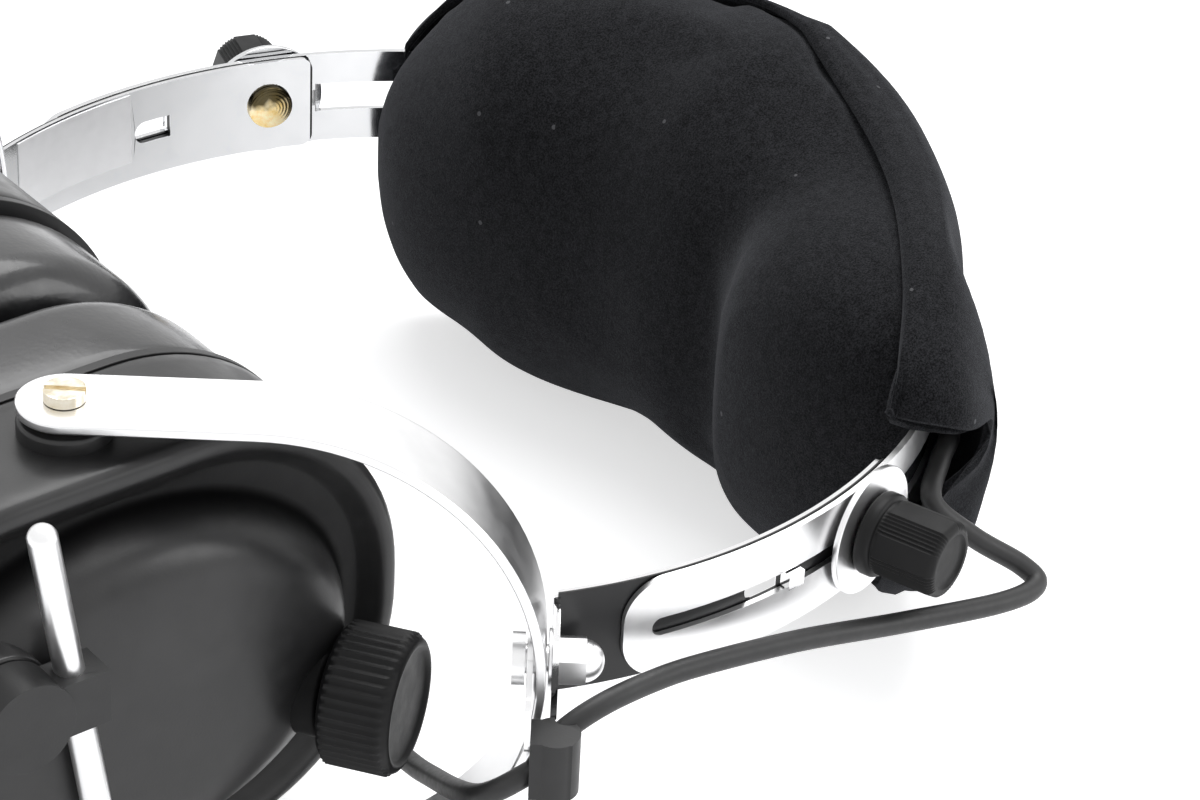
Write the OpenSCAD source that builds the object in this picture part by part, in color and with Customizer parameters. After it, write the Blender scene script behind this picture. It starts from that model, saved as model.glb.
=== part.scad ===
// Radio headset lying on its back: X is up when worn, Y runs from ear to ear, Z is up from the table.
// Left and right pieces are drawn once for the +Y side and mirrored.

/* [Headband] */
// Radius of the middle of the centre band
band_r = 98; // [95:0.5:101]
// Width of the steel strips
strip_w = 20; // [18:0.5:21]
// Thickness of the steel strips
strip_t = 1.1; // [0.9:0.1:1.2]
// Angle from the crown to each end of the centre band
band_half_a = 104.8; // [103.5:0.1:106]
// Angle from the crown to the clamp stud
stud_a = 72.3; // [71.5:0.1:73]
// Angle from the end of the centre band to the arm's foot
foot_a = 6.7; // [5.7:0.1:7.7]
// Width of the adjusting slot
slot_w = 3.6; // [3.4:0.1:4.4]
// Width of the long window in the middle of the band
window_w = 6.2; // [5:0.2:8]

/* [Head pad] */
// Angle from the crown to each end of the pad
pad_half_a = 60; // [56:1:60]
// Depth of the cushion inside the band
pad_depth = 42; // [30:1:46]

/* [Clamp] */
// Diameter of the clamp knob
clamp_knob_d = 15.5; // [12:0.5:17]
// Height of the clamp knob
clamp_knob_h = 15.6; // [12:0.2:17]
// Diameter of the stud's head
stud_head_d = 9.2; // [8.6:0.2:12]
// Diameter of the clamp disc
disc_d = 24; // [21:0.5:25]

/* [Yoke] */
// Radius of the yoke's bend, to the middle of the strip
yoke_r = 47; // [46.5:0.5:49]
// Width of the yoke's strip
yoke_w = 16; // [14:0.5:17]
// Thickness of the yoke's strip
yoke_t = 1.8; // [1.5:0.1:2]
// Straight length of the yoke's legs, from the bend to the pivot
yoke_leg = 31; // [29:0.5:33]
// Angle that the yoke leans inwards
yoke_tilt = 38; // [37:0.5:39]

/* [Ear cup] */
// Length of the cup, from top to bottom when worn
cup_len = 113; // [110:1:116]
// Width of the cup
cup_wid = 84; // [82:1:84]
// Depth of the shell outside the pivot
cup_face = 26; // [25:0.5:28]
// Width of the ring that the ear seal is made of
seal_ring = 23; // [20:0.5:25]
// Space between the two ear seals
seal_gap = 6; // [6:1:12]

/* [Volume knob] */
// Diameter of the volume knob
volume_d = 25; // [22:0.5:26]
// Height of the volume knob
volume_h = 13; // [10:0.5:14]
// Angle that the volume knob leans towards the crown
volume_tilt = 35; // [32:1:37]

/* [Boom rod] */
// Diameter of the rod
rod_d = 5; // [4:0.2:6]
// Length of the rod
rod_len = 76; // [60:1:80]

/* [Lead] */
// Diameter of the lead
lead_d = 3.9; // [3:0.1:4]

/* [Hidden] */
$fn = 64;

// Clearances
slide_gap = 0.3;
run_gap = 0.05;
soft_gap = 0.3;

// Headband and arms, as radii and angles about the band's centre
arm_r = band_r - strip_t - slide_gap;
arm_in = arm_r - strip_t / 2;
band_out = band_r + strip_t / 2;
deg_per_mm = 180 / (PI * arm_r);
arm_top_a = stud_a - 9 * deg_per_mm;
foot_at = band_half_a + foot_a;
tab_a = stud_a + 25.2 * deg_per_mm;
slot_end_a = band_half_a - 7 * deg_per_mm;
window_a = stud_a - 6;
stud_d = 3.2;
tab_len = 3.5;
tab_w = slot_w - 0.6;
pocket_w = 4.8;

// Label: its length, height and thickness
label_len = 29.8;
label_h = 15.4;
label_t = 0.2;
label_end_a = foot_at - 3;

// Clamp, as radii along the stud
disc_t = 1.2;
disc_in = band_out + slide_gap;
disc_out = disc_in + disc_t;
stud_seat = sqrt(arm_in * arm_in - stud_head_d * stud_head_d / 4) - 0.05;
knob_base = disc_out + slide_gap;
knob_flats = 5;
knob_collar = 3;

// Swivel: the foot's middle plane, the stack towards the cup and the rivet's place
foot_off = 5.5;
foot_w = 16;
bolt_d = 5;
washer_t = 0.6;
bracket_t = 1;
lean = [cos(yoke_tilt), sin(yoke_tilt), 0];
outward = [-sin(yoke_tilt), cos(yoke_tilt), 0];
swivel = [arm_r * cos(foot_at), arm_r * sin(foot_at), 0] + foot_off * outward;
apex = -(strip_t / 2 + washer_t + slide_gap + yoke_t / 2);
pivot_u = apex - yoke_r - yoke_leg;
pivot = swivel + pivot_u * lean;
bracket_u = apex - yoke_t / 2 - 0.5 - bracket_t;

// Clip on the bracket's tongue: its reach outwards and down from the swivel, and its width
clip_reach = 13.5;
clip_drop = 10;
clip_w = 7;
clip_h = 11.5;
tongue_w = 5;

// Pivot screws: their heads are the feet that the cups rest on
pivot_d = 4;
head_t = 1.95;
yoke_in = yoke_r - yoke_t / 2;
yoke_out = yoke_r + yoke_t / 2;
mid_z = yoke_out + 0.15 + head_t;

// Cup: depth is counted from the pivot, positive towards the ear
corner = 40;
core_x = cup_len / 2 - corner;
core_y = cup_wid / 2 - corner;
wall = 2.2;
rim = 13;
baffle_t = 2;
seal_back = rim + baffle_t + soft_gap;
seal_face = pivot[1] - seal_gap / 2;
seal_out = corner - 1.5;
seal_in = seal_out - seal_ring;
post = 24.6;
speaker_hole = 34;

// Volume control: its seat on the shoulder of the shell
volume_seat = [core_x + 20, -11, 3 - cup_face];
volume_wall = 9;
shaft_d = 4;

// Boom: where its hub turns, its boss on the shell, its height, and the rod's place and lean in it
hub_x = -28;
hub_y = 15;
hub_d = 16;
boss_h = 8;
hub_lift = 0.3;
hub_h = 8;
rod_x = 10.5;
rod_lift = 3.2;
rod_drop = 4;
rod_lean = -8.5;

// Gland for the lead, at the upper back corner of the cup
gland_d = -6;
gland_x = core_x + corner * cos(45);
gland_y = core_y + corner * sin(45);

// Pad: the seam radius, the half width, and the channel for the band and the lead
pad_back = arm_in - 0.65;
pad_rise = 10.8;
pad_end_w = 15;
pad_end_depth = 6;
pad_sag = 5;
channel_w = strip_w + 2;
channel_r = band_out + lead_d + 1.8;
lead_pad_r = band_out + lead_d / 2 + 1;
lead_pad_a = 53;
lead_in_a = 57;

// Place of the whole headset: centred, with its lowest point on the table
x_top = pad_back + 0.4 + pad_rise;
inlet_out = 4;
x_bottom = pivot[0] - cup_len / 2 - inlet_out;
shift = [-(x_top + x_bottom) / 2, 0, mid_z];

// Routes of the lead, about the band's centre: by the clip, or by the distance outside the band and the angle
clip_at = swivel + (bracket_u + bracket_t + 2.7) * lean + (clip_reach - 1.5) * outward - [0, 0, clip_drop];
gland_exit = [pivot[0] + gland_x + 4, pivot[1] - gland_d, -gland_y - 4];
hinge_split = clip_at + [21, 1, 6];
cup_route = [
    gland_exit, gland_exit + [4, 2, -3], gland_exit + [6, 10, -2], gland_exit + [3, 24, 3],
    clip_at - [10, 5, 8], clip_at - [2.4, 0, 3]
];
hinge_route = [clip_at + [2.4, 0, 2], clip_at + [10, 1, 5.5], hinge_split];
run_route = [
    hinge_split + [0.4, 0, 0], off_band(6.5, 98.2, -5), off_band(6.6, 86.7, -8), off_band(11.3, 74.7, -13),
    off_band(20.9, 64.2, -17), off_band(24.2, 59.7, -18), off_band(20.8, 58.7, -16),
    off_band(12.1, 60.2, -10.5), off_band(4.4, 61.3, -4),
    on_arc(lead_pad_r, lead_in_a, -0.5), on_arc(lead_pad_r, lead_pad_a + 0.2, 0)
];
far_split = clip_at + [21, 1, 4];
far_hinge_route = [clip_at + [2.4, 0, 2], clip_at + [10, 1, 5.5], far_split];
far_route = [
    far_split + [0.8, 0, -0.2], off_band(7.5, 98.1, -10), off_band(7.7, 85.7, -13), off_band(10.1, 75.1, -14),
    off_band(8.1, 66.8, -12), off_band(4.4, 61.3, -4),
    on_arc(lead_pad_r, lead_in_a, -0.5), on_arc(lead_pad_r, lead_pad_a + 0.2, 0)
];

module place() translate(shift) children();
module left() mirror([0, 1, 0]) children();
module at_stud() rotate([0, 0, stud_a]) rotate([0, 90, 0]) children();
module at_swivel() translate(swivel) rotate([0, 0, yoke_tilt]) children();
module at_pivot() translate(pivot) children();
module at_cup() translate(pivot) rotate([90, 0, 0]) children();
module at_volume() at_cup() translate(volume_seat) rotate([0, 180 - volume_tilt, 0]) children();
module at_hub() at_cup() translate([hub_x, hub_y, -cup_face]) rotate([180, 0, 0]) children();
module at_gland() at_cup() translate([gland_x, -gland_y, gland_d]) rotate([0, 90, -45]) children();

// Curved strip: radius r, radial thickness t, height w, between two angles
module strip(r, t, w, a0, a1)
    rotate([0, 0, a0]) rotate_extrude(angle = a1 - a0) translate([r - t / 2, -w / 2]) square([t, w]);

// Cutter that rounds the two corners at one end of a strip
module end_round(r, a, side, w, c)
    rotate([0, 0, a]) translate([r - 3, 0, 0]) rotate([0, 90, 0]) linear_extrude(6)
        for (s = [-1, 1])
            difference() {
                translate([s * (w + 1 - c) / 2, side * (1 - c) / 2]) square(c + 1, center = true);
                translate([s * (w / 2 - c), -side * c]) circle(c);
            }

// Solid of a profile run round a rectangle with rounded corners
module round_run(cx, cy)
    for (k = [0 : 3])
        let (a = k % 2 == 0 ? cx : cy, b = k % 2 == 0 ? cy : cx)
            rotate([0, 0, 90 * k]) translate([a, b, 0]) {
                rotate_extrude(angle = 90) children();
                rotate([90, 0, 0]) linear_extrude(2 * b) children();
            }

// Plate with rounded corners, between two depths
module round_plate(r, d0, d1) {
    round_run(core_x, core_y) translate([0, d0]) square([r, d1 - d0]);
    translate([-core_x, -core_y, d0]) cube([2 * core_x, 2 * core_y, d1 - d0]);
}

// Solid skinned over a list of rings that all have the same number of points, closed by the faces in ends
module loft(rings, ends = []) {
    n = len(rings[0]);
    m = len(rings);
    lids = len(ends) > 0 ? ends : [[for (j = [0 : n - 1]) j]];
    sides = [for (i = [0 : m - 2], j = [0 : n - 1], f = [0, 1])
        let (p = i * n + j, q = i * n + (j + 1) % n)
            f == 0 ? [p, q, p + n] : [q, q + n, p + n]];
    first = [for (c = lids) [for (j = [len(c) - 1 : -1 : 0]) c[j]]];
    last = [for (c = lids) [for (j = c) (m - 1) * n + j]];
    polyhedron([for (r = rings, p = r) p], concat(sides, first, last));
}

// Smooth route through the points, with a few places between each pair
function between(p, t) =
    0.5 * (2 * p[1] + t * (p[2] - p[0]) + t * t * (2 * p[0] - 5 * p[1] + 4 * p[2] - p[3])
    + t * t * t * (3 * p[1] - p[0] - 3 * p[2] + p[3]));
function smooth(p, k) = let (n = len(p) - 1) concat(
    [for (i = [0 : n - 1], j = [0 : k - 1])
        between([p[max(i - 1, 0)], p[i], p[i + 1], p[min(i + 2, n)]], j / k)], [p[n]]);
function unit(v) = v / norm(v);

// Round tube along a route
module tube(route, d) {
    n = len(route) - 1;
    loft([for (i = [0 : n])
        let (t = unit(route[min(i + 1, n)] - route[max(i - 1, 0)]),
             s = unit(cross(t, [0, 0, 1])), u = cross(s, t))
            [for (j = [0 : 7]) route[i] + d / 2 * (cos(45 * j) * s + sin(45 * j) * u)]]);
}

// Headband

module headband_spring() color("silver") place() difference() {
    strip(band_r, strip_t, strip_w, -band_half_a, band_half_a);
    strip(band_r, 6, window_w, -window_a, window_a);
    for (s = [-1, 1]) {
        mirror([0, s < 0 ? 1 : 0, 0]) {
            strip(band_r, 6, slot_w, window_a - 1, slot_end_a);
            rotate([0, 0, slot_end_a]) translate([band_r - 3, 0, 0]) rotate([0, 90, 0])
                cylinder(d = slot_w, h = 6);
            end_round(band_r, band_half_a, 1, strip_w, 8);
        }
    }
}

// Head pad: full in the middle and drawn in at the ends

function fullness(a) = pow(max(0, 1 - pow(abs(a) / pad_half_a, 4)), 0.6);
function shoulder(a) = sin(180 * abs(a) / pad_half_a);
function half_width(a) = pad_end_w + (mid_z - pad_sag - pad_end_w) * fullness(a) - 3 * shoulder(a);
function sag(a) = -pad_sag * fullness(a) - 3 * shoulder(a);
function depth_at(a) = pad_end_depth + (pad_depth - pad_end_depth) * pow(fullness(a), 0.8);
function bent(v, e) = sign(v) * pow(abs(v), e);
function on_arc(r, a, z) = [r * cos(a), r * sin(a), z];
function off_band(gap, a, z) = on_arc(band_out + gap, a, z);
pad_angles = [for (i = [-12 : 12]) pad_half_a * sin(7.5 * i)];

module pad_cushion() color("#1b1b1d") place() loft([for (a = pad_angles)
    [for (i = [0 : 18]) let (f = 90 - 10 * i)
        on_arc(pad_back - depth_at(a) * bent(cos(f), 0.7), a, sag(a) + half_width(a) * bent(sin(f), 0.6))]]);

// The cover's ends are closed round the channel, from its outer edge to the four corners of the channel
cover_ends = [
    [18, 0, 1, 2, 3], [18, 3, 17], [17, 3, 4, 5, 6, 7], [17, 7, 16],
    [16, 7, 8, 9, 10, 11], [16, 11, 15], [15, 11, 12, 13, 14]
];

module pad_cover() color("#222224") place() loft([for (a = pad_angles)
    let (w = half_width(a) - 0.5, r = pad_back + 0.4, c = channel_w / 2)
        concat(
            [for (i = [0 : 14]) let (f = -90 + 180 / 14 * i)
                on_arc(r + pad_rise * bent(cos(f), 0.4 + 0.6 * shoulder(a)), a,
                    sag(a) + w * bent(sin(f), 0.8))],
            [on_arc(r, a, c), on_arc(channel_r, a, c), on_arc(channel_r, a, -c), on_arc(r, a, -c)])],
    cover_ends);

// Arm: strip with a foot bent outwards, a hole for the stud and a guide tab lanced out of it

module arm() difference() {
    union() {
        strip(arm_r, strip_t, strip_w, arm_top_a, foot_at);
        at_swivel() translate([-strip_t / 2, -foot_off, -foot_w / 2]) cube([strip_t, foot_off + 6, foot_w]);
        at_swivel() translate([0, -foot_off, 0])
            cylinder(d = strip_t + 0.3, h = strip_w - 2, center = true);
        rotate([0, 0, tab_a]) translate([arm_in, -tab_len - 3, -tab_w / 2])
            cube([band_out + 1.2 - arm_in, tab_len, tab_w]);
    }
    end_round(arm_r, arm_top_a, -1, strip_w, 2.5);
    at_stud() cylinder(d = stud_d, h = arm_r + 3);
    rotate([0, 0, tab_a]) translate([arm_r - 2, -3.2, -pocket_w / 2]) cube([4, 5.8, pocket_w]);
    rotate([0, 0, tab_a]) translate([arm_r - 2, 2.6, 0]) rotate([0, 90, 0]) cylinder(d = pocket_w, h = 4);
    at_swivel() translate([-3, 0, 0]) rotate([0, 90, 0]) cylinder(d = bolt_d, h = 6);
}

module clamp_stud() at_stud() {
    translate([0, 0, stud_seat - 0.9]) cylinder(d = stud_head_d, h = 0.9);
    translate([0, 0, stud_seat - 1.4]) cylinder(d = stud_head_d - 3, h = 1.4);
    translate([0, 0, stud_seat - 0.5]) cylinder(d = stud_d, h = knob_base + clamp_knob_h - 3.5 - stud_seat);
}

module clamp_plate() at_stud() translate([0, 0, disc_in]) difference() {
    cylinder(d = disc_d, h = disc_t);
    translate([0, 0, -1]) cylinder(d = stud_d, h = disc_t + 2);
}

// Knob with a collar and, beyond it, flats that alternate with round parts
module clamp_knob() at_stud() translate([0, 0, knob_base]) difference() {
    grip = clamp_knob_d - 1.2;
    step = 180 / knob_flats;
    union() {
        cylinder(d = clamp_knob_d, h = knob_collar);
        cylinder(d = grip, h = clamp_knob_h - 1);
        translate([0, 0, clamp_knob_h - 1]) cylinder(d1 = grip, d2 = grip - 2, h = 1);
    }
    for (k = [1 : knob_flats])
        rotate([0, 0, 2 * step * k + step]) translate([grip / 2 * cos(step / 2), -grip / 2, knob_collar])
            cube([grip, grip, clamp_knob_h]);
    translate([0, 0, -1]) cylinder(d = stud_d + 2 * run_gap, h = clamp_knob_h - 2.5);
    translate([0, 0, clamp_knob_h - 0.6]) cylinder(d = clamp_knob_d - 6, h = 1);
}

module blank_label() color("white") place()
    translate([0, 0, 1.8])
        strip(arm_in - label_t / 2, label_t, label_h, label_end_a - label_len * deg_per_mm, label_end_a);

// Swivel between the arm's foot and the yoke

module swivel_bolt() at_swivel() rotate([0, 90, 0]) {
    translate([0, 0, bracket_u - 0.3 - 2.2]) cylinder(d = 9, h = 2.2);
    translate([0, 0, bracket_u - 0.5]) cylinder(d = bolt_d, h = 5 + strip_t / 2 - bracket_u);
}

module swivel_washer() at_swivel() translate([-strip_t / 2 - washer_t, 0, 0]) rotate([0, 90, 0])
    difference() {
        cylinder(d = 10.6, h = washer_t);
        translate([0, 0, -1]) cylinder(d = bolt_d, h = washer_t + 2);
    }

module acorn_nut() at_swivel() translate([strip_t / 2, 0, 0]) rotate([0, 90, 0]) difference() {
    union() {
        cylinder(d = 9, h = 4.6, $fn = 6);
        translate([0, 0, 4]) sphere(d = 7.4);
    }
    translate([0, 0, -5]) cylinder(d = bolt_d, h = 9.5);
}

module yoke() at_swivel() difference() {
    intersection() {
        translate([apex - yoke_r, 0, 0]) rotate([90, 0, 0]) linear_extrude(yoke_w, center = true)
            difference() {
                union() {
                    circle(r = yoke_out);
                    translate([-yoke_leg - yoke_w / 2, -yoke_out])
                        square([yoke_leg + yoke_w / 2, 2 * yoke_out]);
                }
                circle(r = yoke_in);
                translate([-yoke_leg - yoke_w, -yoke_in]) square([yoke_leg + yoke_w, 2 * yoke_in]);
            }
        translate([pivot_u, 0, -mid_z]) {
            cylinder(d = yoke_w, h = 2 * mid_z);
            translate([0, -yoke_w / 2, 0]) cube([yoke_leg + 2 * yoke_r, yoke_w, 2 * mid_z]);
        }
    }
    translate([pivot_u, 0, -mid_z]) cylinder(d = pivot_d + 2 * run_gap, h = 2 * mid_z);
    translate([apex - 4, 0, 0]) rotate([0, 90, 0]) cylinder(d = bolt_d + 2 * run_gap, h = 8);
}

// Bracket from the swivel to the tongue that carries the lead's clip
module clip_bracket() at_swivel() translate([bracket_u, 0, 0]) rotate([90, 0, 90])
    linear_extrude(bracket_t) difference() {
        union() {
            circle(d = 11);
            translate([0, -3]) square([clip_reach + 1.5, 6]);
            translate([clip_reach - tongue_w / 2, -6]) square([tongue_w, 7]);
            translate([clip_reach, -6]) circle(d = tongue_w);
            translate([clip_reach, 0.5]) circle(d = tongue_w);
        }
        circle(d = bolt_d + 2 * run_gap);
    }

module cable_clip() at_swivel() translate([bracket_u + bracket_t, clip_reach, -clip_drop]) difference() {
    union() {
        translate([0, -clip_w / 2, -6.5]) cube([clip_w, clip_w, clip_h]);
        translate([4.2, 0, -6.5]) cylinder(d = clip_w + 1.4, h = clip_h);
    }
    place_clip_bore();
}

// Way of the lead through the clip, as a bore
module place_clip_bore() {
    a = clip_local(cup_route[len(cup_route) - 1]);
    b = clip_local(hinge_route[0]);
    v = unit(b - a);
    translate((a + b) / 2) rotate([0, acos(v[2]), atan2(v[1], v[0])])
        translate([0, 0, -15]) cylinder(d = lead_d + 0.7, h = 30);
}
function clip_local(p) = let (q = p - swivel)
    [q * lean - bracket_u - bracket_t, q * outward - clip_reach, q[2] + clip_drop];

// Ear cup

// Half section of the shell: a rounded lip, a hollow inside it, and a domed face that depth f sets
function shell_outer(f) = [
    [corner, rim], [corner, -12], [corner - 0.6, -13.8], [corner - 1.8, -14.8], [corner - 3.6, -14.8],
    [corner - 7, -13.2], [corner - 9.2, -12.8], [corner - 10.8, -13.8], [corner - 12, -16],
    [corner - 13.2, -18.8], [corner - 15.2, -21], [corner - 19, 3.2 - f], [corner - 25, 1.6 - f],
    [corner - 32, 0.5 - f], [0, -f]];
function shell_inner(f) = [
    [0, wall - f], [corner - 32, wall + 0.5 - f], [corner - 25.3, wall + 1.6 - f],
    [corner - 19.8, wall + 3.2 - f], [corner - 16.6, -19.2], [corner - 15.2, -17.4], [corner - 14, -14.6],
    [corner - 12.4, -12], [corner - 9.8, -10.6], [corner - 7, -10.8], [corner - 4, -12],
    [corner - wall - 0.6, -11], [corner - wall, -9.4], [corner - wall, rim]];

module cup_shell() at_cup() difference() {
    union() {
        round_run(core_x, core_y) polygon(concat(shell_outer(cup_face), shell_inner(cup_face)));
        translate([-core_x, -core_y, -cup_face]) cube([2 * core_x, 2 * core_y, wall]);
        for (s = [-1, 1]) {
            rotate([s * 90, 0, 0]) translate([0, 0, cup_wid / 2 - 5])
                cylinder(d = 16, h = yoke_in - 1.2 - cup_wid / 2 + 5);
            for (t = [-1, 1])
                translate([s * (core_x + post), t * (core_y + post), -2]) cylinder(d = 7, h = rim + 2);
        }
        translate(volume_seat) rotate([0, 180 - volume_tilt, 0]) translate([0, 0, -volume_wall])
            cylinder(d = volume_d - 3, h = volume_wall);
    }
    rotate([90, 0, 0]) translate([0, 0, -mid_z]) cylinder(d = 6, h = 2 * mid_z);
    translate(volume_seat) rotate([0, 180 - volume_tilt, 0]) translate([0, 0, -volume_wall - 8])
        cylinder(d = 7, h = volume_wall + 12);
    for (s = [-1, 1], t = [-1, 1])
        translate([s * (core_x + post), t * (core_y + post), 1]) cylinder(d = 2.6, h = rim + 2);
    translate([gland_x, -gland_y, gland_d]) rotate([0, 90, -45]) translate([0, 0, -8])
        cylinder(d = 6, h = 14);
}

module pivot_bushes() at_pivot() for (s = [0, 1]) mirror([0, 0, s]) difference() {
    union() {
        translate([0, 0, cup_wid / 2 - 4.5]) cylinder(d = 6, h = yoke_in - 1 - cup_wid / 2 + 4.5);
        translate([0, 0, yoke_in - 1.2]) cylinder(d = 9.4, h = 0.9);
    }
    translate([0, 0, cup_wid / 2 - 8]) cylinder(d = 3, h = 20);
}

module pivot_screws() at_pivot() for (s = [0, 1]) mirror([0, 0, s]) difference() {
    union() {
        translate([0, 0, cup_wid / 2 - 3]) cylinder(d = 3, h = yoke_in - cup_wid / 2 + 4);
        translate([0, 0, yoke_in - 0.3]) cylinder(d = pivot_d, h = yoke_t + 0.6);
        translate([0, 0, mid_z - head_t]) cylinder(d = 7, h = head_t);
    }
    rotate([0, 0, 40]) translate([-5, -0.6, mid_z - 0.9]) cube([10, 1.2, 2]);
}

module baffle() at_cup() difference() {
    round_plate(corner, rim, rim + baffle_t);
    translate([0, 0, rim - 1]) cylinder(d = speaker_hole, h = baffle_t + 2);
    for (s = [-1, 1], t = [-1, 1])
        translate([s * (core_x + post), t * (core_y + post), rim - 1]) {
            cylinder(d = 3, h = 4);
            translate([0, 0, 1.8]) cylinder(d = 6, h = 4);
        }
}

module baffle_screws() at_cup() for (s = [-1, 1], t = [-1, 1])
    translate([s * (core_x + post), t * (core_y + post), 0]) difference() {
        union() {
            translate([0, 0, 2]) cylinder(d = 2.6, h = rim);
            translate([0, 0, rim + 0.8]) cylinder(d = 5.4, h = 1.1);
        }
        translate([-0.4, -4, rim + 1.5]) cube([0.8, 8, 1]);
    }

// Half section of the ear seal: a full front and a drawn-in back
module seal_profile() {
    front = 8;
    back = 4;
    deep = seal_face - front;
    translate([seal_in + front, deep]) circle(front);
    translate([seal_out - front, deep]) circle(front);
    translate([seal_in + front, deep]) square([seal_ring - 2 * front, front]);
    translate([seal_in, seal_back + back]) square([seal_ring, deep - seal_back - back]);
    translate([seal_in + back, seal_back]) square([seal_ring - 2 * back, back + 1]);
    translate([seal_in + back, seal_back + back]) circle(back);
    translate([seal_out - back, seal_back + back]) circle(back);
}

module ear_seal() at_cup() round_run(core_x, core_y) seal_profile();

module foam_liner() at_cup() round_plate(seal_in - 0.6, seal_back + 0.2, seal_back + 3.2);

module speaker() at_cup() {
    translate([0, 0, rim - 2.2]) cylinder(d = 44, h = 2);
    translate([0, 0, rim - 8]) cylinder(d1 = 28, d2 = 40, h = 6);
    translate([0, 0, rim - 15]) cylinder(d = 26, h = 7.2);
}

module cable_gland() at_gland() difference() {
    union() {
        translate([0, 0, -5]) cylinder(d = 6, h = 6);
        translate([0, 0, 0.2]) cylinder(d1 = 9, d2 = 6.4, h = 5.4);
    }
    translate([0, 0, -8]) cylinder(d = lead_d + 0.3, h = 20);
}

module volume_pot() at_volume() difference() {
    union() {
        translate([0, 0, -volume_wall - 7.2]) cylinder(d = 16, h = 7);
        translate([0, 0, -volume_wall - 1]) cylinder(d = 7, h = volume_wall + 1.8);
    }
    translate([0, 0, -volume_wall - 5]) cylinder(d = shaft_d + 2 * run_gap, h = 20);
}

module volume_shaft() at_volume() translate([0, 0, -volume_wall - 4.5])
    cylinder(d = shaft_d, h = volume_wall + volume_h + 1);

module volume_knob() at_volume() translate([0, 0, 1.1]) difference() {
    union() {
        cylinder(d = volume_d, h = volume_h - 1);
        translate([0, 0, volume_h - 1]) cylinder(d1 = volume_d, d2 = volume_d - 2, h = 1);
    }
    translate([0, 0, -1]) cylinder(d = shaft_d, h = volume_h - 2.6);
    translate([0, 0, volume_h - 0.7]) cylinder(d = volume_d - 5, h = 1);
}

// Inlet for the main cord, at the bottom of the left cup when worn
module cord_inlet() at_cup() translate([-cup_len / 2, 0, -2]) rotate([0, -90, 0]) difference() {
    union() {
        translate([0, 0, 0.2]) cylinder(d = 11, h = inlet_out - 0.2);
        translate([0, 0, -wall - 1.4]) cylinder(d = 8, h = wall + 2);
    }
    translate([0, 0, -6]) cylinder(d = 5.5, h = 12);
}

// Boom: a rod held in a hub that turns on the left cup

module boom_pivot() at_hub() {
    translate([0, 0, -boss_h - 2.2]) cylinder(d = 8, h = 2);
    translate([0, 0, -boss_h - 0.4]) cylinder(d = 4, h = boss_h + hub_h - 1.6);
}

module at_rod() translate([rod_x, 0, hub_lift + rod_lift]) rotate([90, 0, rod_lean]) children();

module hub() at_hub() difference() {
    union() {
        translate([0, 0, hub_lift]) cylinder(d = hub_d, h = hub_h);
        translate([4, -5, hub_lift]) cube([11, 10, rod_lift + rod_d / 2 + 1.4]);
    }
    translate([0, 0, -1]) cylinder(d = 4 + 2 * run_gap, h = hub_h);
    at_rod() translate([0, 0, -20]) cylinder(d = rod_d, h = 40);
}

module rod() at_hub() at_rod() translate([0, 0, -rod_drop]) {
    translate([0, 0, -(rod_len - rod_d) / 2]) cylinder(d = rod_d, h = rod_len - rod_d);
    for (s = [-1, 1])
        translate([0, 0, s * (rod_len - rod_d) / 2]) sphere(d = rod_d);
}

// Lead: from cup to clip, past the swivel, along the band and through the pad

module lead_pad() color("#151515") place() tube(
    [for (i = [-7 : 7]) on_arc(lead_pad_r, lead_pad_a * i / 7, 0)], lead_d);

// Nodes

module left_arm() color("silver") place() left() arm();
module right_arm() color("silver") place() arm();
module left_clamp_stud() color("#c8a24a") place() left() clamp_stud();
module right_clamp_stud() color("#c8a24a") place() clamp_stud();
module left_clamp_plate() color("silver") place() left() clamp_plate();
module right_clamp_plate() color("silver") place() clamp_plate();
module left_clamp_knob() color("#202022") place() left() clamp_knob();
module right_clamp_knob() color("#202022") place() clamp_knob();
module left_swivel_bolt() color("silver") place() left() swivel_bolt();
module right_swivel_bolt() color("silver") place() swivel_bolt();
module left_swivel_washer() color("silver") place() left() swivel_washer();
module right_swivel_washer() color("silver") place() swivel_washer();
module left_acorn_nut() color("silver") place() left() acorn_nut();
module right_acorn_nut() color("silver") place() acorn_nut();
module left_yoke() color("silver") place() left() yoke();
module right_yoke() color("silver") place() yoke();
module left_clip_bracket() color("silver") place() left() clip_bracket();
module right_clip_bracket() color("silver") place() clip_bracket();
module left_cable_clip() color("#202022") place() left() cable_clip();
module right_cable_clip() color("#202022") place() cable_clip();
module left_cup_shell() color("#262628") place() left() difference() {
    union() {
        cup_shell();
        at_hub() translate([0, 0, -boss_h]) cylinder(d = hub_d + 1, h = boss_h);
    }
    at_hub() translate([0, 0, -boss_h - 4]) cylinder(d = 4, h = boss_h + 8);
    at_cup() translate([4 - cup_len / 2, 0, -2]) rotate([0, -90, 0]) cylinder(d = 8, h = 10);
}
module right_cup_shell() color("#262628") place() cup_shell();
module left_pivot_bushes() color("#c8a24a") place() left() pivot_bushes();
module right_pivot_bushes() color("#c8a24a") place() pivot_bushes();
module left_pivot_screws() color("#d0b878") place() left() pivot_screws();
module right_pivot_screws() color("#d0b878") place() pivot_screws();
module left_baffle() color("#202022") place() left() baffle();
module right_baffle() color("#202022") place() baffle();
module left_baffle_screws() color("silver") place() left() baffle_screws();
module right_baffle_screws() color("silver") place() baffle_screws();
module left_ear_seal() color("#303032") place() left() ear_seal();
module right_ear_seal() color("#303032") place() ear_seal();
module left_foam_liner() color("#404042") place() left() foam_liner();
module right_foam_liner() color("#404042") place() foam_liner();
module left_speaker() color("gray") place() left() speaker();
module right_speaker() color("gray") place() speaker();
module left_cable_gland() color("#202022") place() left() cable_gland();
module right_cable_gland() color("#202022") place() cable_gland();
module left_volume_pot() color("gray") place() left() volume_pot();
module right_volume_pot() color("gray") place() volume_pot();
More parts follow.
